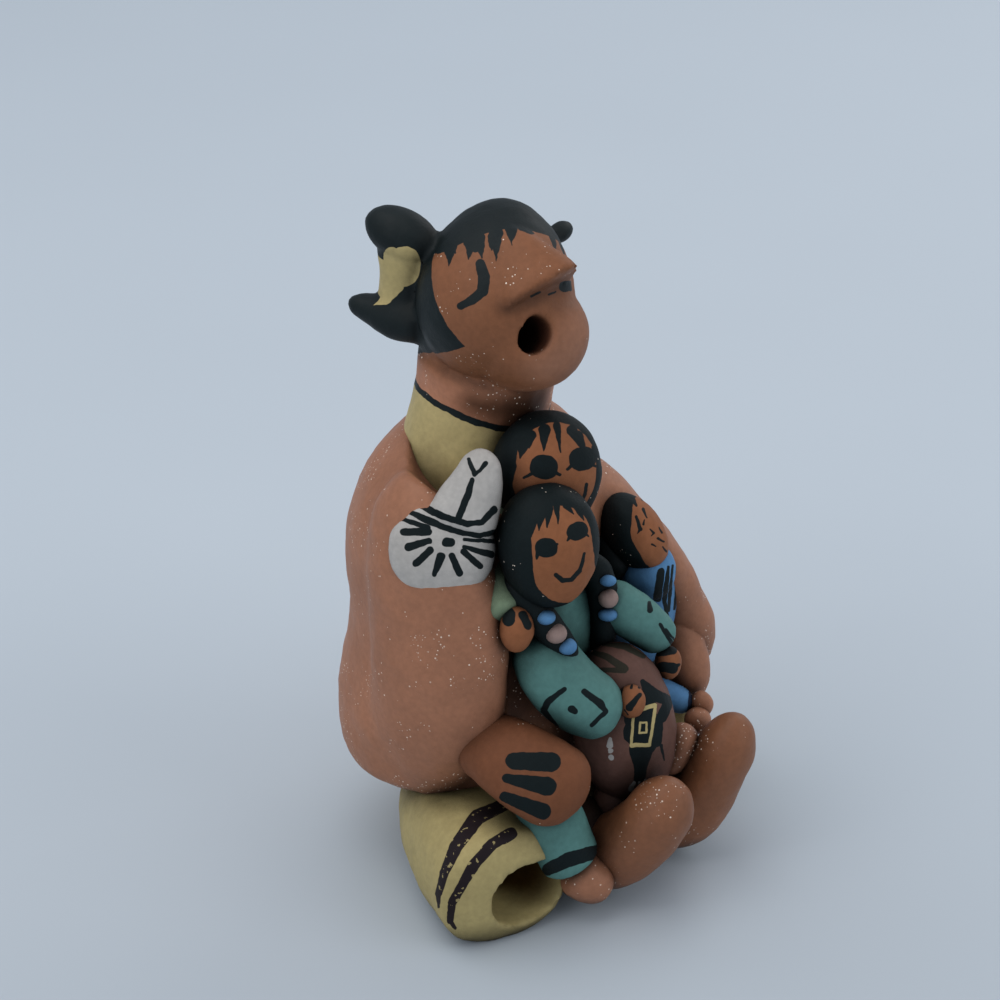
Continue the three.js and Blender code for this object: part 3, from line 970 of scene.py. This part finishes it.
painted("bare_clay", TERRACOTTA, glitter=0.22, wear=0.0, rough=0.52, gloss=0.3)
painted("foot_clay", SKIN, glitter=0.14, wear=0.0, rough=0.5, gloss=0.35)
painted("black", BLACK, glitter=0.01, wear=0.0)
painted("sage", SAGE, glitter=0.0, wear=0.01)
painted("bead_blue", BLUE, glitter=0.0, wear=0.02)
painted("bead_pink", PINK, glitter=0.0, wear=0.02)
print("plain finishes", list(finishes))

# %% [markdown]
# The singer's skin is the same clay, smoothed, in a darker tone, and paler on the throat. A painted
# highlight runs along the jaw, where the light catches the chin. Under the jaw the neck has a painted
# shade mixed with a smudge of smoke from the firing, and the nose throws a soft brown painted shade.

# %% Skin
FACE_MARKS = (-12.9, 5.6, 118.0)
NECK_TOP = 98.0
NECK_SOFT = 3.0
CHEEK_FADE = 6.0
CHIN_HIGHLIGHT = [(11.0, -13.6, 3.2, 15.6, -9.6, 3.4), (15.6, -9.6, 3.4, 17.6, -4.0, 2.4)]
CHIN_HIGHLIGHT_SOFT = 3.5
CHIN_HIGHLIGHT_SHARE = 0.6
NOSE_SHADE = [(3.4, -2.9, 0.9, 8.9, -0.9, 1.2), (8.9, -0.9, 1.2, 13.4, 1.0, 0.7)]
NOSE_SHADE_SOFT = 1.6
NOSE_SHADE_SHARE = 0.66
NECK_SHADE_AND_SMOKE_MARK = ((-10.8, 8.8, 94.4), 2.2, (-2.6, 0.4, 92), 4.2)
NECK_SHADE_AND_SMOKE_SOFT = 3.2
NECK_SHADE_AND_SMOKE_SHARE = 0.88


def height_of(tree, place, slope=UPRIGHT):
    return vector(tree, "DOT_PRODUCT", place, tuple(part / MM for part in slope))


def faintly(tree, under, over, mask, share):
    return lay(tree, under, over, number(tree, "MULTIPLY", mask, share))


def skin_tones(tree, place, flat):
    under_chin = covered(tree, number(tree, "SUBTRACT", height_of(tree, place), NECK_TOP), soft=NECK_SOFT)
    colour = lay(tree, SKIN, NECK_CLAY, under_chin)
    near_side = stencil(tree, place, FACE_MARKS, fade=CHEEK_FADE)[1]
    # Painted highlight along the jaw and chin.
    chin = covered(tree, strokes(tree, flat, CHIN_HIGHLIGHT), soft=CHIN_HIGHLIGHT_SOFT)
    colour = faintly(tree, colour, CHIN_HIGHLIGHT_SKIN, number(tree, "MULTIPLY", chin, near_side), CHIN_HIGHLIGHT_SHARE)
    nose = covered(tree, strokes(tree, flat, NOSE_SHADE), soft=NOSE_SHADE_SOFT)
    colour = faintly(tree, colour, SMOKE_AND_SHADE, number(tree, "MULTIPLY", nose, near_side), NOSE_SHADE_SHARE)
    # Painted shade under the jaw, mixed with a smudge of smoke from the firing.
    neck_shade_and_smoke = covered(tree, stroke(tree, scaled(tree, place, 1 / MM), *NECK_SHADE_AND_SMOKE_MARK), soft=NECK_SHADE_AND_SMOKE_SOFT)
    return faintly(tree, colour, SMOKE_AND_SHADE, neck_shade_and_smoke, NECK_SHADE_AND_SMOKE_SHARE)


print("the smoke mark fades out over", 2 * NECK_SHADE_AND_SMOKE_SOFT, "mm")

# %% [markdown]
# The hair is painted over the crown and the back of the head, down to a straight edge at the neck,
# with a ragged fringe. Planes in the head's own directions set the broad limits of the hair, so
# both sides of the head match, and tapered strokes make the points of the fringe.

# %% Hair
HAIRLINE = 8.3
LOCK_EDGE = (0.3, -0.35)
HAIR_END = 112.8
HAIR_END_SLOPE = (0.0, 0.6, 1.0)
DRIFT_SCALE = 420.0
DRIFT = 0.8
FRINGE = read_off(FACE_MARKS, WHOLE_PHOTO, [
    (450, 240, 8, 448.6, 266, 0.6), (453, 243, 5, 455, 252, 1), (470, 236, 8, 468.6, 259, 0.6),
    (479, 238, 7, 482, 257.5, 0.6), (474, 240, 9, 476, 246, 6), (496, 232, 8, 496.3, 261, 0.6),
    (491, 236, 4, 492, 250, 0.8), (511, 228, 7, 512, 245, 0.6), (524, 226, 6, 533, 233, 1.4)])
TOP_LOCKS = [(-8.2, 7.8, 1.2, -3.2, 10.2, 1.4), (-7.5, 9.8, 1.3, -3.4, 11.8, 1.3),
             (-3.2, 10.2, 1.4, 1.6, 11.8, 1.4), (1.6, 11.8, 1.4, 8.0, 12.9, 1.3)]
FAR_FRINGE = [(3.0, 9.5, 1.2, 3.0, 4.8, 0.1), (6.0, 9.0, 1.2, 6.2, 4.2, 0.1), (8.6, 8.5, 1.3, 9.0, 3.2, 0.1)]


def hair_cover(tree, place, flat, drift):
    offset = vector(tree, "SUBTRACT", place, tuple(at(HEAD_CENTER)))
    turn = facing(HEAD_FRONT, HEAD_UP)
    side, front, up = (vector(tree, "DOT_PRODUCT", offset, tuple(axis / MM)) for axis in turn.col)
    above = number(tree, "SUBTRACT", HAIRLINE, up)
    lock_edge = number(tree, "MULTIPLY_ADD", up, LOCK_EDGE[1], LOCK_EDGE[0])
    behind = number(tree, "SUBTRACT", front, lock_edge)
    low = number(tree, "SUBTRACT", HAIR_END, height_of(tree, place, HAIR_END_SLOPE))
    fringe = strokes(tree, flat, FRINGE + TOP_LOCKS)
    far_flat = node(tree, "ShaderNodeCombineXYZ", X=side, Y=up).outputs[0]
    in_front = number(tree, "MULTIPLY", front, -1.0)
    far_fringe = number(tree, "MAXIMUM", strokes(tree, far_flat, FAR_FRINGE), in_front)
    hair = number(tree, "MAXIMUM", behind, low)
    for area in (above, fringe, far_fringe):
        hair = number(tree, "MINIMUM", hair, area)
    return covered(tree, number(tree, "ADD", hair, drift))


print("fringe strokes", len(FRINGE) + len(TOP_LOCKS) + len(FAR_FRINGE))

# %% [markdown]
# A pale cloth band ties the knot of hair at its waist. It is painted from the near side by
# strokes and guessed to run on around the far side as a plain band.

# %% Hair tie
TIE_MARKS = (-8.2, 25.0, 115.8)
TIE_REACH = 6.0
TIE = read_off(TIE_MARKS, WHOLE_PHOTO, [
    (404, 263, 16.5, 403, 270, 16.5), (392, 255, 8, 390, 285, 9), (394, 284, 10, 385, 298, 6.5),
    (385, 298, 6.5, 366, 303, 2)])
FAR_BAND_HEIGHT = 112.5
FAR_BAND_WIDTH = 7.6
FAR_BAND_FROM = 28.5


def tie_cover(tree, place):
    flat, reach = stencil(tree, place, TIE_MARKS, reach=TIE_REACH)
    near_band = number(tree, "MULTIPLY", covered(tree, strokes(tree, flat, TIE)), reach)
    levels = node(tree, "ShaderNodeSeparateXYZ", Vector=place).outputs
    waist = number(tree, "COMPARE", levels["Z"], FAR_BAND_HEIGHT * MM, FAR_BAND_WIDTH / 2 * MM)
    beyond = number(tree, "GREATER_THAN", levels["Y"], FAR_BAND_FROM * MM)
    return number(tree, "MAXIMUM", near_band, number(tree, "MULTIPLY", waist, beyond))


print("tie strokes", len(TIE))

# %% [markdown]
# The neckline of the shirt is a black line around the neck, with cream cloth below it. A tilted
# plane that falls away to both sides like a rounded roof gives the height of that line all around.

# %% Neckline
NECK_LINE_HEIGHT = 84.8
NECK_LINE_WIDTH = 1.3
NECK_LINE_TILT = (0.0, -0.217, 1.0)
NECK_LINE_FALL = 0.361
NECK_LINE_ROUND = 4.0


def shirt_height(tree, place, drift):
    across = height_of(tree, place, (1.0, 0.0, 0.0))
    rounded = number(tree, "SQRT", number(tree, "MULTIPLY_ADD", across, across, NECK_LINE_ROUND ** 2))
    fallen = number(tree, "MULTIPLY", rounded, NECK_LINE_FALL)
    roof = number(tree, "SUBTRACT", height_of(tree, place, NECK_LINE_TILT), fallen)
    return number(tree, "ADD", number(tree, "SUBTRACT", roof, NECK_LINE_HEIGHT), drift)


print("the neckline is", NECK_LINE_WIDTH, "mm wide")

# %% [markdown]
# All of the head's paint is laid in order: skin, hair, tie, neckline. Eyes and nostrils are a few
# black strokes. The inside of the bored mouth is painted dark, as shade, and no mica glitters in it.

# %% Head
EYES = read_off(FACE_MARKS, WHOLE_PHOTO, [
    (480.5, 264, 5.2, 484, 277, 6), (484, 277, 6, 483, 291, 5.8), (483, 291, 5.6, 472, 300, 4.6),
    (472, 300, 4.6, 460.5, 306, 3.8), (565, 287, 5.6, 571, 286, 5.4)])
NOSTRILS = read_off(FACE_MARKS, WHOLE_PHOTO, [
    (531, 296.5, 1.2, 540, 292, 1.0), (549, 295, 1.1, 556, 291.5, 0.9)])
THROAT_SHADE_MARK = (tuple(at(on_head(1.4, 9.6, -9.4)) / MM), 3.9, tuple(at(on_head(0.4, 2, -8.6)) / MM), 4.2)
THROAT_SHADE_SOFT = 1.0
SHIRT_SOFT = 1.0


def head_paint(tree, place):
    flat, reach = stencil(tree, place, FACE_MARKS)
    drift = number(tree, "MULTIPLY_ADD", noise(tree, place, DRIFT_SCALE), DRIFT, -DRIFT / 2)
    marks = number(tree, "MULTIPLY", covered(tree, strokes(tree, flat, EYES + NOSTRILS)), reach)
    paint = number(tree, "MAXIMUM", hair_cover(tree, place, flat, drift), marks)
    colour = lay(tree, skin_tones(tree, place, flat), BLACK, paint)
    # Painted shade: the inside of the bored mouth is darkened.
    bored_shade = covered(tree, stroke(tree, scaled(tree, place, 1 / MM), *THROAT_SHADE_MARK), soft=THROAT_SHADE_SOFT)
    colour = lay(tree, colour, THROAT_SHADE, bored_shade)
    tie = tie_cover(tree, place)
    colour = lay(tree, colour, CREAM, tie)
    shirt = shirt_height(tree, place, drift)
    colour = lay(tree, colour, CREAM, covered(tree, shirt))
    line = number(tree, "SUBTRACT", number(tree, "ABSOLUTE", shirt), NECK_LINE_WIDTH / 2)
    for cover in (tie, bored_shade, covered(tree, shirt, soft=SHIRT_SOFT)):
        paint = number(tree, "MAXIMUM", paint, cover)
    return lay(tree, colour, BLACK, covered(tree, line)), number(tree, "SUBTRACT", 1.0, paint)


finish_paint("head_paint", head_paint, glitter=0.2, wear=0.01, rough=0.55, gloss=0.22)
print("head paint takes", len(finishes["head_paint"].node_tree.nodes), "nodes")

# %% [markdown]
# The gourd is white, with a black forked stem on its neck, rows of bands across the middle, and
# rays around a dark spot below. The hand that rests beside the trouser leg is a darker clay, painted
# shade from the blanket that hangs over it, and three broad black strokes on it stand for the fingers.

# %% Gourd and near hand marks
GOURD_MARKS = (-28.9, 3.1, 76.4)
GOURD_STEM = read_off(GOURD_MARKS, GOURD_CROP, [
    (335, 96, 5, 345, 122, 6), (345, 122, 6, 347, 130, 6), (375, 105, 6, 362, 122, 5),
    (362, 122, 5, 348, 132, 6), (342, 145, 6, 332, 180, 9), (332, 180, 9, 308, 238, 8)])
GOURD_BANDS = read_off(GOURD_MARKS, GOURD_CROP, [
    (216, 200, 9, 250, 222, 9), (250, 222, 9, 290, 238, 8), (290, 238, 8, 330, 250, 8),
    (330, 250, 8, 365, 246, 7), (365, 246, 7, 395, 216, 9), (192, 220, 6, 235, 240, 9),
    (235, 240, 9, 275, 258, 8), (275, 258, 8, 320, 272, 7), (320, 272, 7, 360, 278, 7),
    (360, 278, 7, 402, 268, 6), (172, 236, 5, 235, 258, 8)])
GOURD_RAYS = read_off(GOURD_MARKS, GOURD_CROP, [
    (176, 268, 9, 236, 268, 10), (188, 304, 10, 238, 290, 8), (206, 344, 9, 240, 312, 9),
    (250, 370, 6, 266, 328, 11), (310, 368, 9, 292, 326, 8), (360, 352, 8, 320, 316, 8),
    (388, 324, 9, 322, 305, 5), (396, 292, 6, 322, 288, 4), (280, 293, 12, 290, 294, 11)])
painted("gourd_paint", WHITE, [(BLACK, GOURD_MARKS, rows) for rows in (GOURD_STEM, GOURD_BANDS, GOURD_RAYS)],
        glitter=0.0, wear=0.0)

HAND_MARKS = (-31.1, -15.5, 33.9)
FINGERS = read_off(HAND_MARKS, LEG_CROP, [
    (308, 55, 22, 405, 57, 26), (290, 100, 12, 395, 120, 25), (285, 148, 14, 385, 185, 22)])
# The hand's clay is darkened as painted shade of the blanket above it.
painted("hand_paint", SHADED_HAND_CLAY, [(BLACK, HAND_MARKS, FINGERS)], glitter=0.10, wear=0.0)
print("gourd strokes", len(GOURD_STEM + GOURD_BANDS + GOURD_RAYS))

# %% [markdown]
# The children's heads are painted black all over, and the face is left as an area of clay colour
# on which fringe, eyes and mouth are brushed again in black. The third face is smudged on the real
# piece, so it is a few irregular strokes, written in millimetres.

# %% Children's faces
A_MARKS = (-12.1, -9.1, 89.0)
A_FACE = read_off(A_MARKS, WHOLE_PHOTO, [(556, 462, 40, 558, 478, 46)])
A_BLACK = read_off(A_MARKS, WHOLE_PHOTO, [
    (544, 430, 6.5, 543.7, 451, 0.7), (556.5, 425, 4, 560.5, 452, 0.7), (572, 430, 6, 580, 446, 0.8),
    (578, 436, 6, 586, 452, 1), (524, 440, 9, 520, 458, 1), (530, 436, 6, 529, 448, 0.8),
    (594, 447, 2.5, 602, 470, 1.6), (602, 470, 1.6, 605, 488, 1.4), (542, 467, 12.3, 546, 467.5, 12.3),
    (536, 472, 2, 524, 478, 1.5), (553, 471, 2.5, 560, 474.5, 1.5), (581, 459, 12, 585, 458, 12),
    (573, 464, 2, 567.5, 469.5, 1.3), (590, 464, 2, 597, 466, 1.5), (587, 484.5, 1.8, 586, 494, 1.8),
    (586, 494, 1.8, 580, 506, 1.6)])
B_MARKS = (-17.1, -13.3, 72.5)
B_FACE = read_off(B_MARKS, WHOLE_PHOTO, [(561, 536, 30, 565, 572, 31)])
B_BLACK = read_off(B_MARKS, WHOLE_PHOTO, [
    (534, 514, 7, 531, 537, 0.8), (541, 512, 6, 539, 531, 0.7), (548, 510, 5, 547, 528, 0.7),
    (556, 507, 3.5, 558, 524, 0.6), (566, 506, 4, 573, 514, 0.8), (576, 506, 4, 583, 520, 0.8),
    (544.5, 548, 9.7, 548.5, 548, 9.4), (539, 548, 4, 537, 559, 1.2), (552, 545, 3, 557.5, 544.5, 1.2),
    (575, 532, 8.8, 579, 530, 8.8), (571, 536, 2.5, 567, 541, 1), (584, 533, 2, 588, 536, 1),
    (556, 575, 2.2, 563, 580.5, 2.4), (563, 580.5, 2.4, 572, 579.5, 2.4), (572, 579.5, 2.4, 580, 570, 2.2),
    (580, 570, 2.2, 583, 560, 1.8), (583, 560, 1.8, 584, 553, 1.4)])
B_NECK = read_off(B_MARKS, WHOLE_PHOTO, [(553, 607, 3, 570, 606, 3.4), (570, 606, 3.4, 589, 598, 3)])
C_MARKS = (13.0, -13.0, 63.9)
C_FACE = read_off(C_MARKS, CHILD_CROP, [(300, 60, 70, 295, 135, 68), (295, 135, 68, 321, 194, 61)])
C_BLACK = [(-3.3, 7, 0.92, -1.7, 4.4, 0.23), (-1.9, 7.3, 0.57, -0.6, 5.6, 0.23),
           (-0.5, 3.8, 0.3, 0.3, 2.2, 0.12), (-1.7, 2.4, 0.26, -0.9, 0.2, 0.42),
           (-0.9, 0.2, 0.3, -1.4, -0.7, 0.1), (-0.1, 1.8, 0.1, -0.3, 1.0, 0.2),
           (0.9, 0.2, 0.12, 1.6, -0.5, 0.26), (1.6, -0.5, 0.2, 1.2, -1.1, 0.08),
           (2.5, 0.6, 0.1, 3.1, -0.4, 0.22), (2.4, -1.5, 0.26, 3.5, -2.1, 0.14),
           (1.3, -2.6, 0.2, 2.0, -2.9, 0.14), (3.3, -3.0, 0.14, 4.0, -3.9, 0.2)]
for name, centre, face, black, glitter in (("a_face_paint", A_MARKS, A_FACE, A_BLACK, 0.02),
                                           ("b_face_paint", B_MARKS, B_FACE, B_BLACK + B_NECK, 0.06),
                                           ("c_face_paint", C_MARKS, C_FACE, C_BLACK, 0.04)):
    painted(name, BLACK, [(CHILD_SKIN, centre, face), (BLACK, centre, black)], glitter=glitter, wear=0.0)
print("face strokes", len(A_BLACK), len(B_BLACK), len(C_BLACK))

# %% [markdown]
# The second child wears teal, with black brackets on the sleeve and a dark hem, and the third
# wears blue with dark stripes. Each sleeve and leg has its own stencil, facing the photographer.

# %% Children's clothes
SLEEVE_MARKS = (-19.4, -17.7, 44.0)
BRACKETS = read_off(SLEEVE_MARKS, WHOLE_PHOTO, [
    (564, 689.5, 2.5, 548, 702, 3.5), (548, 702, 3.5, 543.5, 711, 3.2), (543.5, 711, 3.2, 557, 727, 2),
    (584, 691.5, 3, 600, 703, 4), (600, 703, 4, 606, 711, 2.5), (606, 711, 2.5, 592, 725, 2.2),
    (572, 709.5, 4, 574.5, 711, 3.6)])
FAR_SLEEVE_MARKS = (2.9, -19.0, 53.5)
FAR_SLEEVE = read_off(FAR_SLEEVE_MARKS, CHILD_CROP, [
    (285, 360, 6, 288, 385, 9), (322, 430, 6, 362, 490, 7), (340, 445, 4, 372, 480, 4)])
HEM_MARKS = (-22.9, -20.2, 13.3)
HEM = read_off(HEM_MARKS, LEG_CROP, [(398, 338, 16, 450, 312, 19), (450, 312, 19, 530, 288, 18)])
C_SHIRT_MARKS = (16.5, -14.5, 49.8)
C_STRIPES = read_off(C_SHIRT_MARKS, CHILD_CROP, [
    (322, 262, 12, 312, 345, 14), (345, 245, 4, 340, 300, 8), (340, 300, 8, 335, 355, 8),
    (335, 355, 8, 348, 410, 5), (358, 240, 3, 352, 330, 6), (352, 330, 6, 350, 385, 5),
    (372, 240, 3, 372, 320, 5), (372, 320, 5, 368, 380, 4)])
C_HEM_MARKS = (19.3, -21.1, 25.3)
C_HEM = [(-0.3, 3.2, 0.8, -0.6, -2.6, 0.75)]
for name, ground, tone, centre, rows in (("teal", TEAL, BLACK, B_MARKS, B_NECK),
                                         ("near_sleeve_paint", TEAL, BLACK, SLEEVE_MARKS, BRACKETS),
                                         ("far_sleeve_paint", TEAL, BLACK, FAR_SLEEVE_MARKS, FAR_SLEEVE),
                                         ("leg_paint", TEAL, BLACK, HEM_MARKS, HEM),
                                         ("blue", BLUE, BLACK, C_SHIRT_MARKS, C_STRIPES),
                                         ("c_leg_paint", BLUE, DARK_BLUE, C_HEM_MARKS, C_HEM)):
    painted(name, ground, [(tone, centre, rows)], glitter=0.0, wear=0.01)
print("clothes strokes", len(BRACKETS + FAR_SLEEVE + HEM + C_STRIPES))

# %% [markdown]
# The children's hands are the colour of their faces, with short black strokes for the fingers and
# a few more worn spots than their clothes.

# %% Children's hands
A_HAND_MARKS = (-24.9, -8.2, 61.6)
A_FINGERS = read_off(A_HAND_MARKS, WHOLE_PHOTO, [
    (509, 614, 6.5, 508.5, 620, 6.5), (523, 615, 4.5, 528, 626, 4), (500, 603, 2.5, 520, 602, 2)])
B_HAND_MARKS = (-8.9, -23.4, 42.4)
B_FINGERS = read_off(B_HAND_MARKS, POT_CROP, [
    (328, 645, 23, 388, 568, 14), (285, 520, 8, 272, 600, 4), (345, 500, 5, 335, 528, 8),
    (398, 495, 6, 384, 522, 10), (300, 660, 5, 320, 690, 4)])
B_FAR_HAND_MARKS = (4.7, -22.9, 43.1)
B_FAR_FINGERS = read_off(B_FAR_HAND_MARKS, POT_CROP, [
    (500, 316, 24, 585, 300, 26), (520, 402, 30, 585, 408, 34), (590, 405, 20, 625, 385, 8),
    (502, 440, 14, 500, 465, 8)])
for name, centre, rows in (("a_hand_paint", A_HAND_MARKS, A_FINGERS),
                           ("b_hand_paint", B_HAND_MARKS, B_FINGERS),
                           ("b_far_hand_paint", B_FAR_HAND_MARKS, B_FAR_FINGERS)):
    painted(name, CHILD_SKIN, [(BLACK, centre, rows)], glitter=0.03, wear=0.03)
print("finger strokes", len(A_FINGERS + B_FINGERS + B_FAR_FINGERS))

# %% [markdown]
# The small pot is painted like a full-sized one: a maroon ground, olive strokes at the shoulder,
# black fields edged with cream, and white flecks below. Its stencil reaches deeper than the
# others, because the pot's belly turns away further.

# %% Pot marks
POT_MARKS = (-6.0, -24.2, 35.7)
POT_REACH = 16.0
POT_DARK = read_off(POT_MARKS, POT_CROP, [
    (400, 490, 16, 450, 560, 45), (450, 560, 42, 560, 600, 30), (560, 600, 30, 520, 700, 34),
    (355, 720, 60, 440, 640, 50), (400, 800, 108, 420, 850, 80), (400, 900, 74, 400, 1010, 40),
    (400, 1010, 38, 395, 1075, 36), (470, 740, 60, 480, 840, 46), (520, 870, 11, 542, 960, 5)])
POT_OLIVE = read_off(POT_MARKS, WHOLE_PHOTO, [
    (585, 652, 2, 605, 658, 3.4), (605, 658, 3.4, 623, 669, 4.2), (623, 671, 3, 585, 672, 2.2),
    (598, 645, 1.5, 623, 647, 3.4), (623, 647, 3.4, 641, 656, 2.8)])
POT_CREAM = read_off(POT_MARKS, POT_CROP, [
    (350, 690, 8, 340, 870, 9), (342, 874, 12, 450, 868, 12), (480, 640, 9, 452, 860, 9),
    (400, 655, 13, 476, 630, 13), (390, 735, 6, 388, 800, 6), (388, 800, 6, 430, 795, 6),
    (430, 795, 6, 428, 735, 6), (428, 735, 6, 390, 735, 6)])
POT_FLECKS = read_off(POT_MARKS, POT_CROP, [
    (215, 838, 10, 212, 878, 19), (214, 905, 12, 218, 910, 15), (220, 948, 15, 224, 953, 16),
    (365, 1098, 9, 345, 1140, 17), (395, 1098, 8, 393, 1135, 13), (432, 1082, 8, 430, 1112, 13)])
pot_layers = [(tone, POT_MARKS, rows) for tone, rows in ((OLIVE, POT_OLIVE), (BLACK, POT_DARK),
                                                         (CREAM, POT_CREAM), (WHITE, POT_FLECKS))]
painted("pot_paint", MAROON, pot_layers, reach=POT_REACH, glitter=0.0, wear=0.01)
print("pot strokes", len(POT_OLIVE + POT_DARK + POT_CREAM + POT_FLECKS))

# %% [markdown]
# Two dark stripes run around the opening of each trouser leg. They are scuffed where the hem was
# handled, and the far leg takes the same stripes mirrored. The cream of the legs is painted a little
# darker, as shade from the blanket above. Down in the hollow the cream stops at bare clay painted
# nearly black, as shade. The seat is cream as well, and dark in front, where the lap shades it.

# %% Trousers and seat
CUFF_MARKS = (-40.8, -7.9, 18.4)
OUTER_STRIPE = read_off(CUFF_MARKS, LEG_CROP, [
    (285, 168, 17, 215, 200, 21), (215, 200, 21, 160, 275, 18), (160, 275, 18, 128, 345, 12),
    (128, 345, 12, 112, 400, 9), (112, 400, 8, 112, 435, 3)])
INNER_STRIPE = read_off(CUFF_MARKS, LEG_CROP, [
    (302, 245, 17, 255, 270, 15), (255, 270, 15, 205, 325, 15), (205, 325, 15, 170, 385, 13),
    (170, 385, 13, 147, 425, 11), (147, 425, 11, 142, 470, 9), (142, 470, 7, 155, 490, 4)])
SCUFF_SCALE = 900.0
SCUFF_LEVEL = 0.64
SCUFF_LOSS = 0.75
HOLLOW_SHADE = ((-25, -11, 8.6), 4.9, (-19, 3, 10), 9)
HOLLOW_SOFT = 2.2
LAP_SHADE_FROM = -7.0
LAP_SHADE_SOFT = 2.5


def cuff_paint(hand):
    def build(tree, place):
        mirrored = vector(tree, "MULTIPLY", place, (-hand, 1, 1))
        flat, reach = stencil(tree, mirrored, CUFF_MARKS)
        stripe = covered(tree, strokes(tree, flat, OUTER_STRIPE + INNER_STRIPE))
        scuffed = number(tree, "GREATER_THAN", noise(tree, place, SCUFF_SCALE, detail=3.0), SCUFF_LEVEL)
        kept = number(tree, "MULTIPLY_ADD", scuffed, -SCUFF_LOSS, 1.0)
        stripe = number(tree, "MULTIPLY", number(tree, "MULTIPLY", stripe, reach), kept)
        # Painted shade: the hollow of the trouser leg is darkened towards its inner end.
        deep = covered(tree, stroke(tree, scaled(tree, mirrored, 1 / MM), *HOLLOW_SHADE), soft=HOLLOW_SOFT)
        # The cream here is a darker copy, painted shade from the blanket.
        colour = lay(tree, SHADED_CUFF_CREAM, DARK_STRIPE, stripe)
        return lay(tree, colour, SHADED_INNER_CLAY, deep), 0.0
    return build


def seat_paint(tree, place):
    front = height_of(tree, place, (0.0, 1.0, 0.0))
    under = covered(tree, number(tree, "SUBTRACT", front, LAP_SHADE_FROM), soft=LAP_SHADE_SOFT)
    return lay(tree, CREAM, UNDER_LAP, under), 0.0


finish_paint("near_cuff_paint", cuff_paint(-1), glitter=0.0, wear=0.02)
finish_paint("far_cuff_paint", cuff_paint(1), glitter=0.0, wear=0.05)
finish_paint("seat_cream", seat_paint, glitter=0.0, wear=0.05)
print("finishes made", len(finishes))

# %% [markdown]
# Each finish is now handed to the lumps that wear it. Several lumps share one, such as the bare
# clay of the blanket, or the black of the braids.

# %% Handing out the finishes
worn_by = {
    "head_paint": "head", "bare_clay": "blanket far_hand b_near_foot b_far_foot c_foot c_near_foot",
    "near_cuff_paint": "near_cuff", "far_cuff_paint": "far_cuff", "seat_cream": "seat",
    "gourd_paint": "gourd", "hand_paint": "near_hand", "foot_clay": "near_foot far_foot",
    "a_face_paint": "a_head", "sage": "a_body a_arm", "a_hand_paint": "a_hand", "b_face_paint": "b_head",
    "teal": "b_body", "near_sleeve_paint": "b_near_arm", "b_hand_paint": "b_near_hand",
    "far_sleeve_paint": "b_far_arm", "b_far_hand_paint": "b_far_hand", "leg_paint": "b_leg",
    "c_face_paint": "c_head", "black": "c_lock near_braid far_braid", "blue": "c_body c_shoulder",
    "c_leg_paint": "c_leg", "pot_paint": "pot_base pot", "bead_blue": "bead_1 bead_3 bead_4 bead_6",
    "bead_pink": "bead_2 bead_5",
}
parts = {"head": head, "blanket": blanket, "near_cuff": near_cuff, "far_cuff": far_cuff, "seat": seat,
         "gourd": gourd, **limbs, **child_parts, **beads}
for finish, names in worn_by.items():
    for name in names.split():
        parts[name].data.materials.clear()
        parts[name].data.materials.append(finishes[finish])
print("lumps", len(parts), "finishes", len(worn_by))

# %% [markdown]
# In the kiln it all becomes one piece, so the lumps are united into one skin, each face keeping
# its own finish. The small lumps go first and the four large ones are pressed on after them,
# because a union takes longer the larger its body has grown. The underside is cut flat where it
# stands.

# %% One fired piece
SMOOTH_UP_TO = math.radians(50)
large = ("near_cuff", "far_cuff", "blanket", "head")
small_lumps = press([piece for name, piece in parts.items() if name not in large])
storyteller = press([small_lumps] + [parts[name] for name in large])
storyteller.name = "storyteller"
take_up(storyteller)
bpy.ops.object.mode_set(mode="EDIT")
bpy.ops.mesh.select_all(action="SELECT")
bpy.ops.mesh.bisect(plane_co=(0, 0, 0), plane_no=(0, 0, 1), clear_inner=True, use_fill=True)
bpy.ops.mesh.select_all(action="DESELECT")
bpy.ops.object.mode_set(mode="OBJECT")
bpy.ops.object.shade_smooth_by_angle(angle=SMOOTH_UP_TO)
print("storyteller", len(storyteller.data.polygons), "faces", len(storyteller.data.materials), "finishes")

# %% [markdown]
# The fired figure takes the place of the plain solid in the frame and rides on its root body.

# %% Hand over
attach(storyteller, "root")
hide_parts("storyteller_figure")
